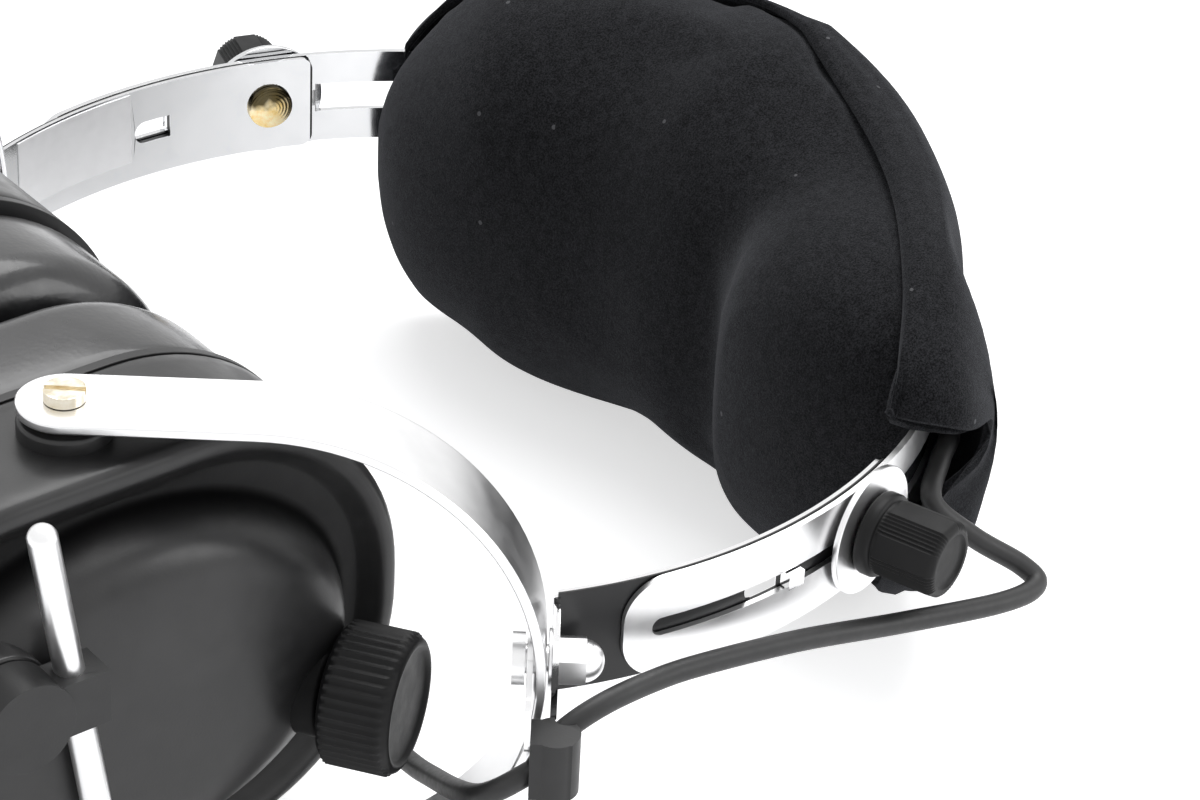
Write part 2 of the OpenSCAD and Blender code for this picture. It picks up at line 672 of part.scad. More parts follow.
module left_volume_shaft() color("silver") place() left() volume_shaft();
module right_volume_shaft() color("silver") place() volume_shaft();
module left_volume_knob() color("#202022") place() left() volume_knob();
module right_volume_knob() color("#202022") place() volume_knob();
module left_lead_cup() color("#151515") place() left() tube(smooth(cup_route, 2), lead_d);
module left_lead_hinge() color("#151515") place() left() tube(smooth(hinge_route, 2), lead_d);
module left_lead_run() color("#151515") place() left() tube(smooth(run_route, 2), lead_d);
module right_lead_cup() color("#151515") place() tube(smooth(cup_route, 2), lead_d);
module right_lead_hinge() color("#151515") place() tube(smooth(far_hinge_route, 2), lead_d);
module right_lead_run() color("#151515") place() tube(smooth(far_route, 2), lead_d);
module left_cord_inlet() color("#202022") place() left() cord_inlet();
module boom_pivot_screw() color("silver") place() left() boom_pivot();
module boom_hub() color("#202022") place() left() hub();
module boom_rod() color("silver") place() left() rod();

headband_spring();
pad_cushion();
pad_cover();
lead_pad();
left_arm();
left_clamp_stud();
left_clamp_plate();
left_clamp_knob();
left_swivel_bolt();
left_swivel_washer();
left_acorn_nut();
left_yoke();
left_clip_bracket();
left_cable_clip();
left_cup_shell();
left_pivot_bushes();
left_pivot_screws();
left_baffle();
left_baffle_screws();
left_ear_seal();
left_foam_liner();
left_speaker();
left_cable_gland();
left_volume_pot();
left_volume_shaft();
left_volume_knob();
left_lead_cup();
left_lead_hinge();
left_lead_run();
left_cord_inlet();
boom_pivot_screw();
boom_hub();
boom_rod();
right_arm();
right_clamp_stud();
right_clamp_plate();
right_clamp_knob();
blank_label();
right_swivel_bolt();
right_swivel_washer();
right_acorn_nut();
right_yoke();
right_clip_bracket();
right_cable_clip();
right_cup_shell();
right_pivot_bushes();
right_pivot_screws();
right_baffle();
right_baffle_screws();
right_ear_seal();
right_foam_liner();
right_speaker();
right_cable_gland();
right_volume_pot();
right_volume_shaft();
right_volume_knob();
right_lead_cup();
right_lead_hinge();
right_lead_run();
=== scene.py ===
import math

import bmesh
import bpy
from mathutils import Matrix, Vector


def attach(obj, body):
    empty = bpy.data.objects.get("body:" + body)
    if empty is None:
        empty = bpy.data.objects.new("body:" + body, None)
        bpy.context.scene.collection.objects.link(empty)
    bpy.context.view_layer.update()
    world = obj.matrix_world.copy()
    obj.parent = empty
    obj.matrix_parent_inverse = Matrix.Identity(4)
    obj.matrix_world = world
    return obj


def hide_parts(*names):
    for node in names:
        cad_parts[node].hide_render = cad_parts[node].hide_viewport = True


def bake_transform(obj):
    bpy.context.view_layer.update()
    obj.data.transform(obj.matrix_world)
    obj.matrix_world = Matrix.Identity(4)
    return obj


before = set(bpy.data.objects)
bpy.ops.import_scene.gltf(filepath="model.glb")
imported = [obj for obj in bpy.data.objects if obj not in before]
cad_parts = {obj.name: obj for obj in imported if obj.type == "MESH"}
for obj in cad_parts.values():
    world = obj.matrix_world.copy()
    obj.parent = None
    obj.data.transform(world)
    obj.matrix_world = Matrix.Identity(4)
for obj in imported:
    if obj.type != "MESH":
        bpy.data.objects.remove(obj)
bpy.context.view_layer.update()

# Driving sizes in millimetres and degrees, the same as in the part's source
MM = 0.001
SLIDE_GAP, SOFT_GAP, RUN_GAP = 0.3, 0.3, 0.05
BAND_R, STRIP_T = 98.0, 1.1
ARM_R = BAND_R - STRIP_T - SLIDE_GAP
ARM_IN, ARM_OUT = ARM_R - STRIP_T / 2, ARM_R + STRIP_T / 2
BAND_OUT = BAND_R + STRIP_T / 2
DEG_PER_MM = 180 / (math.pi * ARM_R)
STUD_A, FOOT_A, FOOT_OFF = 72.3, 111.5, 5.5
ARM_TOP, TAB_A = STUD_A - 9 * DEG_PER_MM, STUD_A + 25.2 * DEG_PER_MM
WINDOW_A = STUD_A - 6
STUD_HEAD_D, DISC_T = 9.2, 1.2
STUD_SEAT = math.sqrt(ARM_IN ** 2 - STUD_HEAD_D ** 2 / 4) - RUN_GAP
YOKE_R, YOKE_W, YOKE_T, YOKE_LEG, YOKE_TILT = 47.0, 16.0, 1.8, 31.0, 38.0
YOKE_IN, YOKE_OUT = YOKE_R - YOKE_T / 2, YOKE_R + YOKE_T / 2
WASHER_T, SCREW_GAP, SCREW_HEAD = 0.6, 0.15, 1.95
MID_Z = YOKE_OUT + SCREW_GAP + SCREW_HEAD
CUP_LEN, CUP_WID, CUP_FACE = 113.0, 84.0, 26.0
CORNER, WALL, RIM, BAFFLE_T = 40.0, 2.2, 13.0, 2.0
CORE_X, CORE_Y = CUP_LEN / 2 - CORNER, CUP_WID / 2 - CORNER
VOLUME_TILT = math.radians(35)
LEAD_D = 3.9
PAD_RISE, PAD_GAP, COVER_GAP, INLET_OUT = 10.8, 0.65, 0.4, 4
PAD_BACK = ARM_IN - PAD_GAP

# About the band's centre: the leaning yoke's directions, the swivel, the pivot and the row's place
LEAN = Vector((math.cos(math.radians(YOKE_TILT)), math.sin(math.radians(YOKE_TILT)), 0))
OUTWARD = Vector((-LEAN.y, LEAN.x, 0))
FOOT = math.radians(FOOT_A)
SWIVEL = Vector((ARM_R * math.cos(FOOT), ARM_R * math.sin(FOOT), 0)) + FOOT_OFF * OUTWARD
APEX = -(STRIP_T / 2 + WASHER_T + SLIDE_GAP + YOKE_T / 2)
PIVOT = SWIVEL + (APEX - YOKE_R - YOKE_LEG) * LEAN
X_ENDS = PAD_BACK + COVER_GAP + PAD_RISE + PIVOT.x - CUP_LEN / 2 - INLET_OUT
SHIFT = Vector((-X_ENDS / 2, 0, MID_Z))
SEAL_RING, SEAL_GAP = 23.0, 6.0
SEAL_BACK, SEAL_FACE = RIM + BAFFLE_T + SOFT_GAP, PIVOT.y - SEAL_GAP / 2
SEAL_OUT = CORNER - 1.5
SEAL_IN = SEAL_OUT - SEAL_RING
STUD_AXIS = Vector((math.cos(math.radians(STUD_A)), math.sin(math.radians(STUD_A)), 0))
SIDES = (("left", -1), ("right", 1))


def at(p, side=1):
    """A point about the band's centre, in millimetres, as a place in the row frame."""
    return (Vector((p[0], side * p[1], p[2])) + SHIFT) * MM


def on_arc(r, a, z):
    """A point about the band's centre from its radius, its angle from the crown and its height."""
    return Vector((r * math.cos(math.radians(a)), r * math.sin(math.radians(a)), z))


def cup(x, y, depth):
    """A point of the +Y cup from its place along and across and its depth towards the ear."""
    return Vector((PIVOT.x + x, PIVOT.y - depth, y))


def smoothstep(t):
    t = max(0.0, min(1.0, t))
    return t * t * (3 - 2 * t)


def hill(v, middle, width):
    """A smooth hill of height 1."""
    return math.exp(-((v - middle) / width) ** 2)


def bent(v, e):
    """A power that keeps the sign."""
    return math.copysign(abs(v) ** e, v)


# ---------------------------------------------------------------- camera

# Place about the band's centre in millimetres, angles in degrees, focal length in photo pixels
CAM_POS = Vector((-388.2, -527.5, 406.1))
CAM_AZ, CAM_EL, CAM_ROLL = (math.radians(v) for v in (39.42, 32.49, 2.93))
CAM_FOCAL_PX, PHOTO_W, SENSOR = 4127.16, 1200.0, 36.0
CAM_NEAR, CAM_FAR = 0.02, 50


def make_camera():
    look = Vector((math.sin(CAM_AZ) * math.cos(CAM_EL), math.cos(CAM_AZ) * math.cos(CAM_EL),
                   -math.sin(CAM_EL)))
    flat = Vector((math.cos(CAM_AZ), -math.sin(CAM_AZ), 0))
    up = flat.cross(look)
    right = math.cos(CAM_ROLL) * flat + math.sin(CAM_ROLL) * up
    top = math.cos(CAM_ROLL) * up - math.sin(CAM_ROLL) * flat
    data = bpy.data.cameras.new("camera")
    data.sensor_width = SENSOR
    data.lens = CAM_FOCAL_PX * SENSOR / PHOTO_W
    data.clip_start, data.clip_end = CAM_NEAR, CAM_FAR
    cam = bpy.data.objects.new("camera", data)
    spot = at(CAM_POS)
    cam.matrix_world = Matrix((
        (right.x, top.x, -look.x, spot.x), (right.y, top.y, -look.y, spot.y),
        (right.z, top.z, -look.z, spot.z), (0, 0, 0, 1)))
    bpy.context.scene.collection.objects.link(cam)
    bpy.context.scene.camera = cam


make_camera()

# ---------------------------------------------------------------- materials

# Marks on the strips, in degrees and millimetres: the window's end, painted as a pale highlight,
# and the arm's end and the tab's pocket, painted as shade
WINDOW_LINE, WINDOW_HALF = 0.14, 3.2
END_LINE, POCKET_HALF_A, POCKET_HALF_W = 0.26, 3.6, 2.7
# Radial offsets in millimetres: where the arm's real black lining starts, and the bounds of the
# pocket walls painted as shade
LINING_IN, WALL_IN, WALL_OUT = 0.2, 0.15, 0.1
# Heights about the middle between which the stud's painted dark reflection grows, and how far they
# wander
DARK_REFLECTION_LOW, DARK_REFLECTION_HIGH, DARK_REFLECTION_WANDER = 0.3, 1.9, 0.0012
# In metres: how far from the middle the steel's lit half and its painted, shaded half blend, and
# the depth of fine grain
HALF_BLEND, FINE = 0.05, 0.0001


class Look:
    """Node helpers for one procedural material."""

    def __init__(self, name):
        self.mat = bpy.data.materials.new(name)
        self.mat.use_nodes = True
        self.tree = self.mat.node_tree
        self.shader = self.tree.nodes["Principled BSDF"]
        self.coord = self.tree.nodes.new("ShaderNodeTexCoord").outputs["Object"]

    def put(self, **values):
        for key, value in values.items():
            self.shader.inputs[key.replace("_", " ")].default_value = value
        return self

    def node(self, kind, inputs, **props):
        n = self.tree.nodes.new(kind)
        for key, value in props.items():
            setattr(n, key, value)
        for key, value in inputs.items():
            if isinstance(value, bpy.types.NodeSocket):
                self.tree.links.new(value, n.inputs[key])
            else:
                n.inputs[key].default_value = value
        return n

    def link(self, socket, name):
        self.tree.links.new(socket, self.shader.inputs[name])

    def stretched(self, scale):
        mapping = self.node("ShaderNodeMapping", {"Vector": self.coord, "Scale": scale})
        return mapping.outputs["Vector"]

    def noise(self, scale, detail, rough=0.55, coord=None):
        return self.node("ShaderNodeTexNoise", {
            "Vector": coord or self.coord, "Scale": scale, "Detail": detail,
            "Roughness": rough}).outputs["Fac"]

    def cells(self, scale, out="Distance"):
        cells = self.node("ShaderNodeTexVoronoi", {"Vector": self.coord, "Scale": scale})
        return cells.outputs[out]

    def ramp(self, fac, low, high, a, b):
        n = self.node("ShaderNodeValToRGB", {"Fac": fac})
        first, last = n.color_ramp.elements[0], n.color_ramp.elements[1]
        first.position, last.position = low, high
        first.color, last.color = (*a, 1), (*b, 1)
        return n.outputs["Color"]

    def span(self, fac, low, high, a, b):
        return self.node("ShaderNodeMapRange", {
            "Value": fac, "From Min": low, "From Max": high, "To Min": a,
            "To Max": b}).outputs["Result"]

    def vector(self, op, *values):
        return self.node("ShaderNodeVectorMath", dict(enumerate(values)), operation=op)

    def math(self, op, a, b=0.0):
        return self.node("ShaderNodeMath", {0: a, 1: b}, operation=op).outputs["Value"]

    def mix(self, fac, a, b):
        return self.node("ShaderNodeMix", {0: fac, 6: a, 7: b}, data_type="RGBA").outputs[2]

    def bump(self, height, strength, distance, under=None):
        inputs = {"Height": height, "Strength": strength, "Distance": distance}
        if under is not None:
            inputs["Normal"] = under
        return self.node("ShaderNodeBump", inputs).outputs["Normal"]


def about_band(k):
    """Place about the band's axis, how far across, turn from the crown, height off the middle."""
    place = k.vector("ADD", k.coord, (-SHIFT.x * MM, 0, 0)).outputs["Vector"]
    spot = k.node("ShaderNodeSeparateXYZ", {"Vector": place}).outputs
    turn = k.math("ARCTAN2", k.math("ABSOLUTE", spot["Y"]), spot["X"])
    level = k.math("ABSOLUTE", k.math("SUBTRACT", spot["Z"], MID_Z * MM))
    return place, spot["Y"], turn, level


def patch(k, turn, level, middle, half_a, half_w):
    """Mask of a patch of the strip about an angle from the crown."""
    off = k.math("ABSOLUTE", k.math("SUBTRACT", turn, math.radians(middle)))
    return k.math("MULTIPLY", k.math("LESS_THAN", off, math.radians(half_a)),
                  k.math("LESS_THAN", level, half_w * MM))


def between(k, far, low, high):
    """Mask of the places whose distance lies between two sizes in millimetres."""
    return k.math("MULTIPLY", k.math("GREATER_THAN", far, low * MM),
                  k.math("LESS_THAN", far, high * MM))


def polish(k, across):
    """Colour and roughness of polished steel with fine lines; the right half is given a greyer
    colour as painted shade.
    """
    haze = k.noise(180.0, 4.0)
    lines = k.noise(1.0, 3.0, 0.6, k.stretched((260.0, 260.0, 9000.0)))
    k.link(k.bump(lines, 0.03, FINE), "Normal")
    near = k.ramp(haze, 0.3, 0.75, (0.90, 0.90, 0.905), (0.955, 0.955, 0.96))
    # Painted shade: a darker copy of the same steel's colour for the right half
    far = k.ramp(haze, 0.3, 0.75, (0.72, 0.725, 0.735), (0.79, 0.795, 0.805))
    tone = k.mix(k.span(across, 0.0, HALF_BLEND, 0.0, 1.0), near, far)
    return tone, k.span(haze, 0.3, 0.75, 0.06, 0.13)


def steel():
    """Polished steel, duller on the left half, with a painted highlight: a pale, non-metallic line
    at the end of the band's window.
    """
    k = Look("polished_steel")
    _, across, turn, level = about_band(k)
    # Painted highlight: the window's end is painted pale white in place of the steel's dark
    # reflection there
    cut = patch(k, turn, level, WINDOW_A, WINDOW_LINE, WINDOW_HALF)
    tone, rough = polish(k, across)
    k.link(k.mix(cut, tone, (0.95, 0.95, 0.95, 1)), "Base Color")
    k.link(k.span(cut, 0, 1, 1, 0), "Metallic")
    worn = k.span(across, -HALF_BLEND, 0.0, 0.22, 0.0)
    k.link(k.math("ADD", worn, rough), "Roughness")
    return k.mat


def arm_steel():
    """Polished strip with a black lining on its outer face, and painted shade: a dark line at its
    end and dark walls in the tab's pocket.
    """
    k = Look("lined_steel")
    place, across, turn, level = about_band(k)
    flat = k.vector("MULTIPLY", place, (1, 1, 0)).outputs["Vector"]
    far = k.vector("LENGTH", flat).outputs["Value"]
    face = between(k, far, ARM_R + LINING_IN, ARM_OUT + LINING_IN)
    # Painted shade: a dark line on the inner face at the arm's end
    end = k.math("LESS_THAN", turn, math.radians(ARM_TOP + END_LINE))
    pocket = patch(k, turn, level, TAB_A, POCKET_HALF_A, POCKET_HALF_W)
    # Painted shade: the walls of the tab's pocket are darkened
    pocket_shade = k.math("MULTIPLY", pocket, between(k, far, ARM_IN + WALL_IN, ARM_OUT + WALL_OUT))
    liner_and_shade = k.math("MAXIMUM", face, k.math("MAXIMUM", end, pocket_shade))
    tone, rough = polish(k, across)
    k.link(k.mix(liner_and_shade, tone, (0.008, 0.008, 0.009, 1)), "Base Color")
    k.link(k.span(liner_and_shade, 0, 1, 1, 0), "Metallic")
    k.link(k.math("ADD", k.math("MULTIPLY", liner_and_shade, 0.35), rough), "Roughness")
    return k.mat


def brass(name, low, high, tarnish=0.0):
    """Turned brass, whose top can be painted darker as a painted reflection of dark surroundings.
    """
    k = Look(name).put(Metallic=1.0)
    age = k.noise(420.0, 5.0, 0.62)
    tone = k.ramp(age, 0.35, 0.7, low, high)
    if tarnish:
        # Painted reflection: the stud's top is darkened, its edge wandering with noise
        height = k.node("ShaderNodeSeparateXYZ", {"Vector": k.coord}).outputs["Z"]
        wander = k.span(k.noise(300.0, 2.0), 0.3, 0.7, -DARK_REFLECTION_WANDER, DARK_REFLECTION_WANDER)
        dark = k.span(k.math("ADD", height, wander), (MID_Z - DARK_REFLECTION_LOW) * MM,
                      (MID_Z + DARK_REFLECTION_HIGH) * MM, 0.0, tarnish)
        tone = k.mix(dark, tone, (0.045, 0.036, 0.016, 1))
    k.link(tone, "Base Color")
    k.link(k.span(age, 0.3, 0.75, 0.14, 0.3), "Roughness")
    k.link(k.bump(k.noise(2600.0, 2.0), 0.05, FINE), "Normal")
    return k.mat


def moulded(name, low, high, rough, gloss=0.5, groove=False):
    """Moulded plastic; where the mesh marks painted shade, in the dome's groove and on the volume
    boss, it is painted dark and matt.
    """
    k = Look(name).put(IOR=1.49, Specular_IOR_Level=gloss)
    tone = k.ramp(k.noise(70.0, 3.0), 0.3, 0.72, low, high)
    dull = k.span(k.noise(310.0, 4.0), 0.3, 0.75, rough - 0.05, rough + 0.06)
    if groove:
        # Painted shade from the mesh's marks: darker and matt in the groove and on the boss under
        # the knob
        dark = k.node("ShaderNodeAttribute", {}, attribute_name="groove").outputs["Fac"]
        tone = k.mix(dark, tone, (0.002, 0.002, 0.0022, 1))
        dull = k.math("ADD", dull, k.math("MULTIPLY", dark, 0.3))
        k.link(k.span(dark, 0, 1, gloss, 0.06), "Specular IOR Level")
    k.link(tone, "Base Color")
    k.link(dull, "Roughness")
    k.link(k.bump(k.noise(2400.0, 2.0, 0.5), 0.12, 0.00012), "Normal")
    return k.mat


def fleece():
    """Napped black cloth with a little lint."""
    k = Look("napped_fleece").put(
        Roughness=1.0, Sheen_Weight=0.16, Sheen_Roughness=0.5, Sheen_Tint=(0.80, 0.82, 0.88, 1),
        Specular_IOR_Level=0.08)
    pile = k.noise(2900.0, 3.0, 0.8)
    tufts = k.noise(520.0, 4.0, 0.65)
    grain = k.math("ADD", k.math("MULTIPLY", pile, 0.8), k.math("MULTIPLY", tufts, 0.2))
    shade = k.ramp(grain, 0.42, 0.62, (0.002, 0.0021, 0.0024), (0.034, 0.0345, 0.038))
    lint_scale, lint_size, clean_share = 330.0, 0.16, 0.972
    spread = k.cells(lint_scale, "Color")
    chance = k.node("ShaderNodeSeparateColor", {"Color": spread}).outputs["Red"]
    pick = k.math("GREATER_THAN", chance, clean_share)
    dot = k.math("LESS_THAN", k.cells(lint_scale), lint_size)
    lint = k.math("MULTIPLY", k.math("MULTIPLY", pick, dot), 0.5)
    k.link(k.mix(lint, shade, (0.20, 0.20, 0.21, 1)), "Base Color")
    coarse = k.bump(tufts, 0.15, 0.0005)
    k.link(k.bump(pile, 0.5, 0.0003, coarse), "Normal")
    return k.mat


def seal_skin():
    """Glossy, lightly creased cover of the ear seals."""
    k = Look("seal_skin").put(IOR=1.5, Coat_Weight=0.5, Coat_Roughness=0.14)
    cloud = k.noise(60.0, 3.0)
    k.link(k.ramp(cloud, 0.3, 0.72, (0.011, 0.011, 0.012), (0.02, 0.02, 0.021)), "Base Color")
    k.link(k.span(k.noise(240.0, 4.0), 0.3, 0.75, 0.27, 0.4), "Roughness")
    crease = k.noise(1.0, 4.0, 0.6, k.stretched((90.0, 45.0, 90.0)))
    k.link(k.bump(k.cells(900.0), 0.12, 0.0002, k.bump(crease, 0.18, 0.0012)), "Normal")
    return k.mat


def foam():
    k = Look("open_foam").put(Roughness=1.0, Specular_IOR_Level=0.1)
    pores = k.cells(1300.0)
    k.link(k.ramp(pores, 0.1, 0.6, (0.006, 0.006, 0.007), (0.05, 0.05, 0.052)), "Base Color")
    k.link(k.bump(pores, 0.8, 0.0008), "Normal")
    return k.mat


def jacket():
    k = Look("lead_jacket").put(IOR=1.5)
    tone = k.noise(120.0, 3.0)
    k.link(k.ramp(tone, 0.3, 0.72, (0.022, 0.022, 0.0225), (0.034, 0.034, 0.0345)), "Base Color")
    k.link(k.span(k.noise(900.0, 3.0), 0.3, 0.75, 0.42, 0.56), "Roughness")
    k.link(k.bump(k.noise(3200.0, 2.0), 0.1, FINE), "Normal")
    return k.mat


def film():
    k = Look("label_film").put(IOR=1.45, Metallic=0.85)
    tone = k.noise(260.0, 3.0)
    k.link(k.ramp(tone, 0.3, 0.7, (0.93, 0.93, 0.94), (0.97, 0.97, 0.98)), "Base Color")
    k.link(k.span(k.noise(500.0, 3.0), 0.3, 0.7, 0.38, 0.5), "Roughness")
    k.link(k.bump(k.noise(1500.0, 2.0), 0.05, FINE), "Normal")
    return k.mat


def grey_metal():
    k = Look("grey_metal").put(Metallic=0.7)
    tone = k.noise(300.0, 4.0)
    k.link(k.ramp(tone, 0.3, 0.7, (0.24, 0.24, 0.25), (0.36, 0.36, 0.37)), "Base Color")
    k.link(k.span(k.noise(600.0, 3.0), 0.3, 0.7, 0.32, 0.5), "Roughness")
    k.link(k.bump(k.noise(2500.0, 2.0), 0.08, FINE), "Normal")
    return k.mat


LOOKS = {
    "steel": steel(), "arm": arm_steel(), "fleece": fleece(), "seal": seal_skin(), "foam": foam(),
    "jacket": jacket(), "film": film(), "grey": grey_metal(),
    "brass": brass("stud_brass", (0.72, 0.52, 0.20), (0.90, 0.80, 0.56), tarnish=0.95),
    "pale": brass("pale_brass", (0.74, 0.66, 0.50), (0.93, 0.89, 0.80)),
    "shell": moulded("cup_plastic", (0.020, 0.020, 0.0205), (0.031, 0.0305, 0.031), 0.33,
                     groove=True),
    "knob": moulded("knob_plastic", (0.005, 0.005, 0.0054), (0.009, 0.009, 0.0094), 0.48,
                    gloss=0.26),
    "clip": moulded("clip_plastic", (0.012, 0.012, 0.0125), (0.020, 0.020, 0.0205), 0.42),
}

# ---------------------------------------------------------------- mesh helpers

# Radius that a turned profile keeps at its axis
AXIS_R = 0.05


def piece(name, verts, faces, look, slot, body, replaces):
    """A visible piece; one without a body is left without a parent."""
    mesh = bpy.data.meshes.new(name)
    mesh.from_pydata([tuple(v) for v in verts], [], faces)
    mesh.validate()
    bm = bmesh.new()
    bm.from_mesh(mesh)
    bmesh.ops.recalc_face_normals(bm, faces=bm.faces)
    bm.to_mesh(mesh)
    bm.free()
    smooth(mesh)
    obj = bpy.data.objects.new(name, mesh)
    bpy.context.scene.collection.objects.link(obj)
    mesh.materials.append(LOOKS[look])
    if body:
        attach(obj, body)
    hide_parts(*replaces)
    return obj


def smooth(mesh):
    for p in mesh.polygons:
        p.use_smooth = True


def sharpen(obj, angle=50.0):
    """Smooth shading that breaks at the edges that turn more than the angle."""
    obj.data.set_sharp_from_angle(angle=math.radians(angle))


def even_normals(obj):
    obj.modifiers.new("even", "WEIGHTED_NORMAL").keep_sharp = False


def skin(rings, caps=True):
    """Vertices and faces over closed rings that all have the same number of points."""
    n = len(rings[0])
    verts = [p for r in rings for p in r]
    faces = []
    for i in range(len(rings) - 1):
        for j in range(n):
            a, b = i * n + j, i * n + (j + 1) % n
            faces.append((a, b, b + n, a + n))
    if caps:
        faces.append(tuple(range(n - 1, -1, -1)))
        faces.append(tuple((len(rings) - 1) * n + j for j in range(n)))
    return verts, faces


def joined(*parts):
    verts, faces = [], []
    for v, f in parts:
        base = len(verts)
        verts += list(v)
        faces += [tuple(i + base for i in q) for q in f]
    return verts, faces


def in_row(part, side):
    """The part's points, given about the band's centre for the +Y side, in the row frame."""
    verts, faces = part
    return [at(v, side) for v in verts], faces


def smooth_route(points, steps):
    """Curve through the points, with a few places between each pair."""
    out = []
    n = len(points) - 1
    for i in range(n):
        p0, p1, p2, p3 = points[max(i - 1, 0)], points[i], points[i + 1], points[min(i + 2, n)]
        for j in range(steps):
            t = j / steps
            out.append(0.5 * (2 * p1 + t * (p2 - p0) + t * t * (2 * p0 - 5 * p1 + 4 * p2 - p3)
                              + t ** 3 * (3 * p1 - p0 - 3 * p2 + p3)))
    return out + [points[-1]]


def tube(route, d, first=0, last=None):
    """Round tube along a route, its frame carried on; only the rings first to last are kept."""
    sides = 20
    rings = []
    axis = None
    for i, p in enumerate(route):
        t = (route[min(i + 1, len(route) - 1)] - route[max(i - 1, 0)]).normalized()
        if axis is None:
            axis = t.cross(Vector((0, 0, 1))).normalized()
        axis = (axis - axis.dot(t) * t).normalized()
        other = t.cross(axis)
        turns = [2 * math.pi * j / sides for j in range(sides)]
        rings.append([p + d / 2 * (math.cos(a) * axis + math.sin(a) * other) for a in turns])
    return skin(rings[first:last])


def lathe(profile, origin, axis, sides=64, radius=None, start=None):
    """Solid turned from (radius, height) from end to end; radius(angle, r, h) may vary it."""
    axis = axis.normalized()
    one = start or axis.orthogonal().normalized()
    two = axis.cross(one)
    rings = []
    for r, h in profile:
        ring = []
        for j in range(sides):
            a = 2 * math.pi * j / sides
            k = radius(a, r, h) if radius else r
            ring.append(origin + h * axis + k * (math.cos(a) * one + math.sin(a) * two))
        rings.append(ring)
    return skin(rings)


def round_profile(r, h0, h1, e):
    """Cylinder's profile with rounded edges, of edge radius e."""
    steps = 4
    arc = [i * math.pi / 2 / steps for i in range(steps + 1)]
    low = [(r - e + e * math.sin(t), h0 + e - e * math.cos(t)) for t in arc]
    high = [(r - e + e * math.cos(t), h1 - e + e * math.sin(t)) for t in arc]
    return [(AXIS_R, h0)] + low + high + [(AXIS_R, h1)]


def rounded_ring(r, depth, corner_steps=20, long_steps=8, short_steps=2):
    """Ring of cup points at a distance r from the cup's core rectangle."""
    out = []
    marks = ((CORE_X, CORE_Y, 0, short_steps), (-CORE_X, CORE_Y, 90, long_steps),
             (-CORE_X, -CORE_Y, 180, short_steps), (CORE_X, -CORE_Y, 270, long_steps))
    for k, (x, y, a0, steps) in enumerate(marks):
        x0, y0 = marks[k - 1][:2]
        c, s = math.cos(math.radians(a0)), math.sin(math.radians(a0))
        for i in range(1, steps):
            t = i / steps
            out.append((x0 + (x - x0) * t + r * c, y0 + (y - y0) * t + r * s, depth))
        for i in range(corner_steps + 1):
            a = math.radians(a0 + 90 * i / corner_steps)
            out.append((x + r * math.cos(a), y + r * math.sin(a), depth))
    return out


# ---------------------------------------------------------------- lead

# Where the lead enters the pad and how far it dips there; a stretch along the run, the route's
# steps
LEAD_PAD_R, LEAD_PAD_A, LEAD_IN_A, LEAD_DIP = BAND_OUT + LEAD_D / 2 + 1, 53.0, 57, 0.6
LEAD_TURN, STEPS = 40.0, 8
# In the pad, in degrees: how far it lies in the band's window, over what it rises, and its end
LEAD_FLAT_A, LEAD_RISE_A, LEAD_END_A = 42, 7, 50
GLAND_R = CORNER * math.cos(math.radians(45))
GLAND_EXIT = Vector((PIVOT.x + CORE_X + GLAND_R + 4, PIVOT.y + 6, -CORE_Y - GLAND_R - 4))
CLIP_AT = Vector((-47, 103, -10))
CUP_ROUTE = [GLAND_EXIT + Vector((-5, -1, 5)), GLAND_EXIT, GLAND_EXIT + Vector((4, 2, -3)),
             GLAND_EXIT + Vector((6, 10, -2)), GLAND_EXIT + Vector((3, 24, 3)),
             Vector((-57, 98, -18)), CLIP_AT - Vector((2.4, 0, 3))]
HINGE_ROUTE = [CUP_ROUTE[-1], CLIP_AT + Vector((2.4, 0, 2)), Vector((-37, 104, -4.5))]
ENTRY = [on_arc(LEAD_PAD_R, LEAD_PAD_A, 0), on_arc(LEAD_PAD_R - LEAD_DIP, 49, 0)]
NEAR_RUN = [Vector(p) for p in (
    (-26, 104, -4), (-15, 104, -5), (6, 105, -8), (29, 106, -13), (52, 107.5, -17), (62, 106, -18),
    (62, 102, -16), (55, 96, -10.5), on_arc(BAND_OUT + 4.4, 61.3, -4),
    on_arc(LEAD_PAD_R, LEAD_IN_A, -0.5))] + ENTRY
FAR_RUN = [Vector(p) for p in (
    (-26, 104, -6), (-15, 105, -10), (8, 106, -13), (28, 105, -14),
    on_arc(BAND_OUT + 7, 67.5, -12.5), on_arc(BAND_OUT + 3.2, 63.5, -10),
    on_arc(LEAD_PAD_R, 60, -9.4), on_arc(LEAD_PAD_R, LEAD_IN_A, -7))] + ENTRY


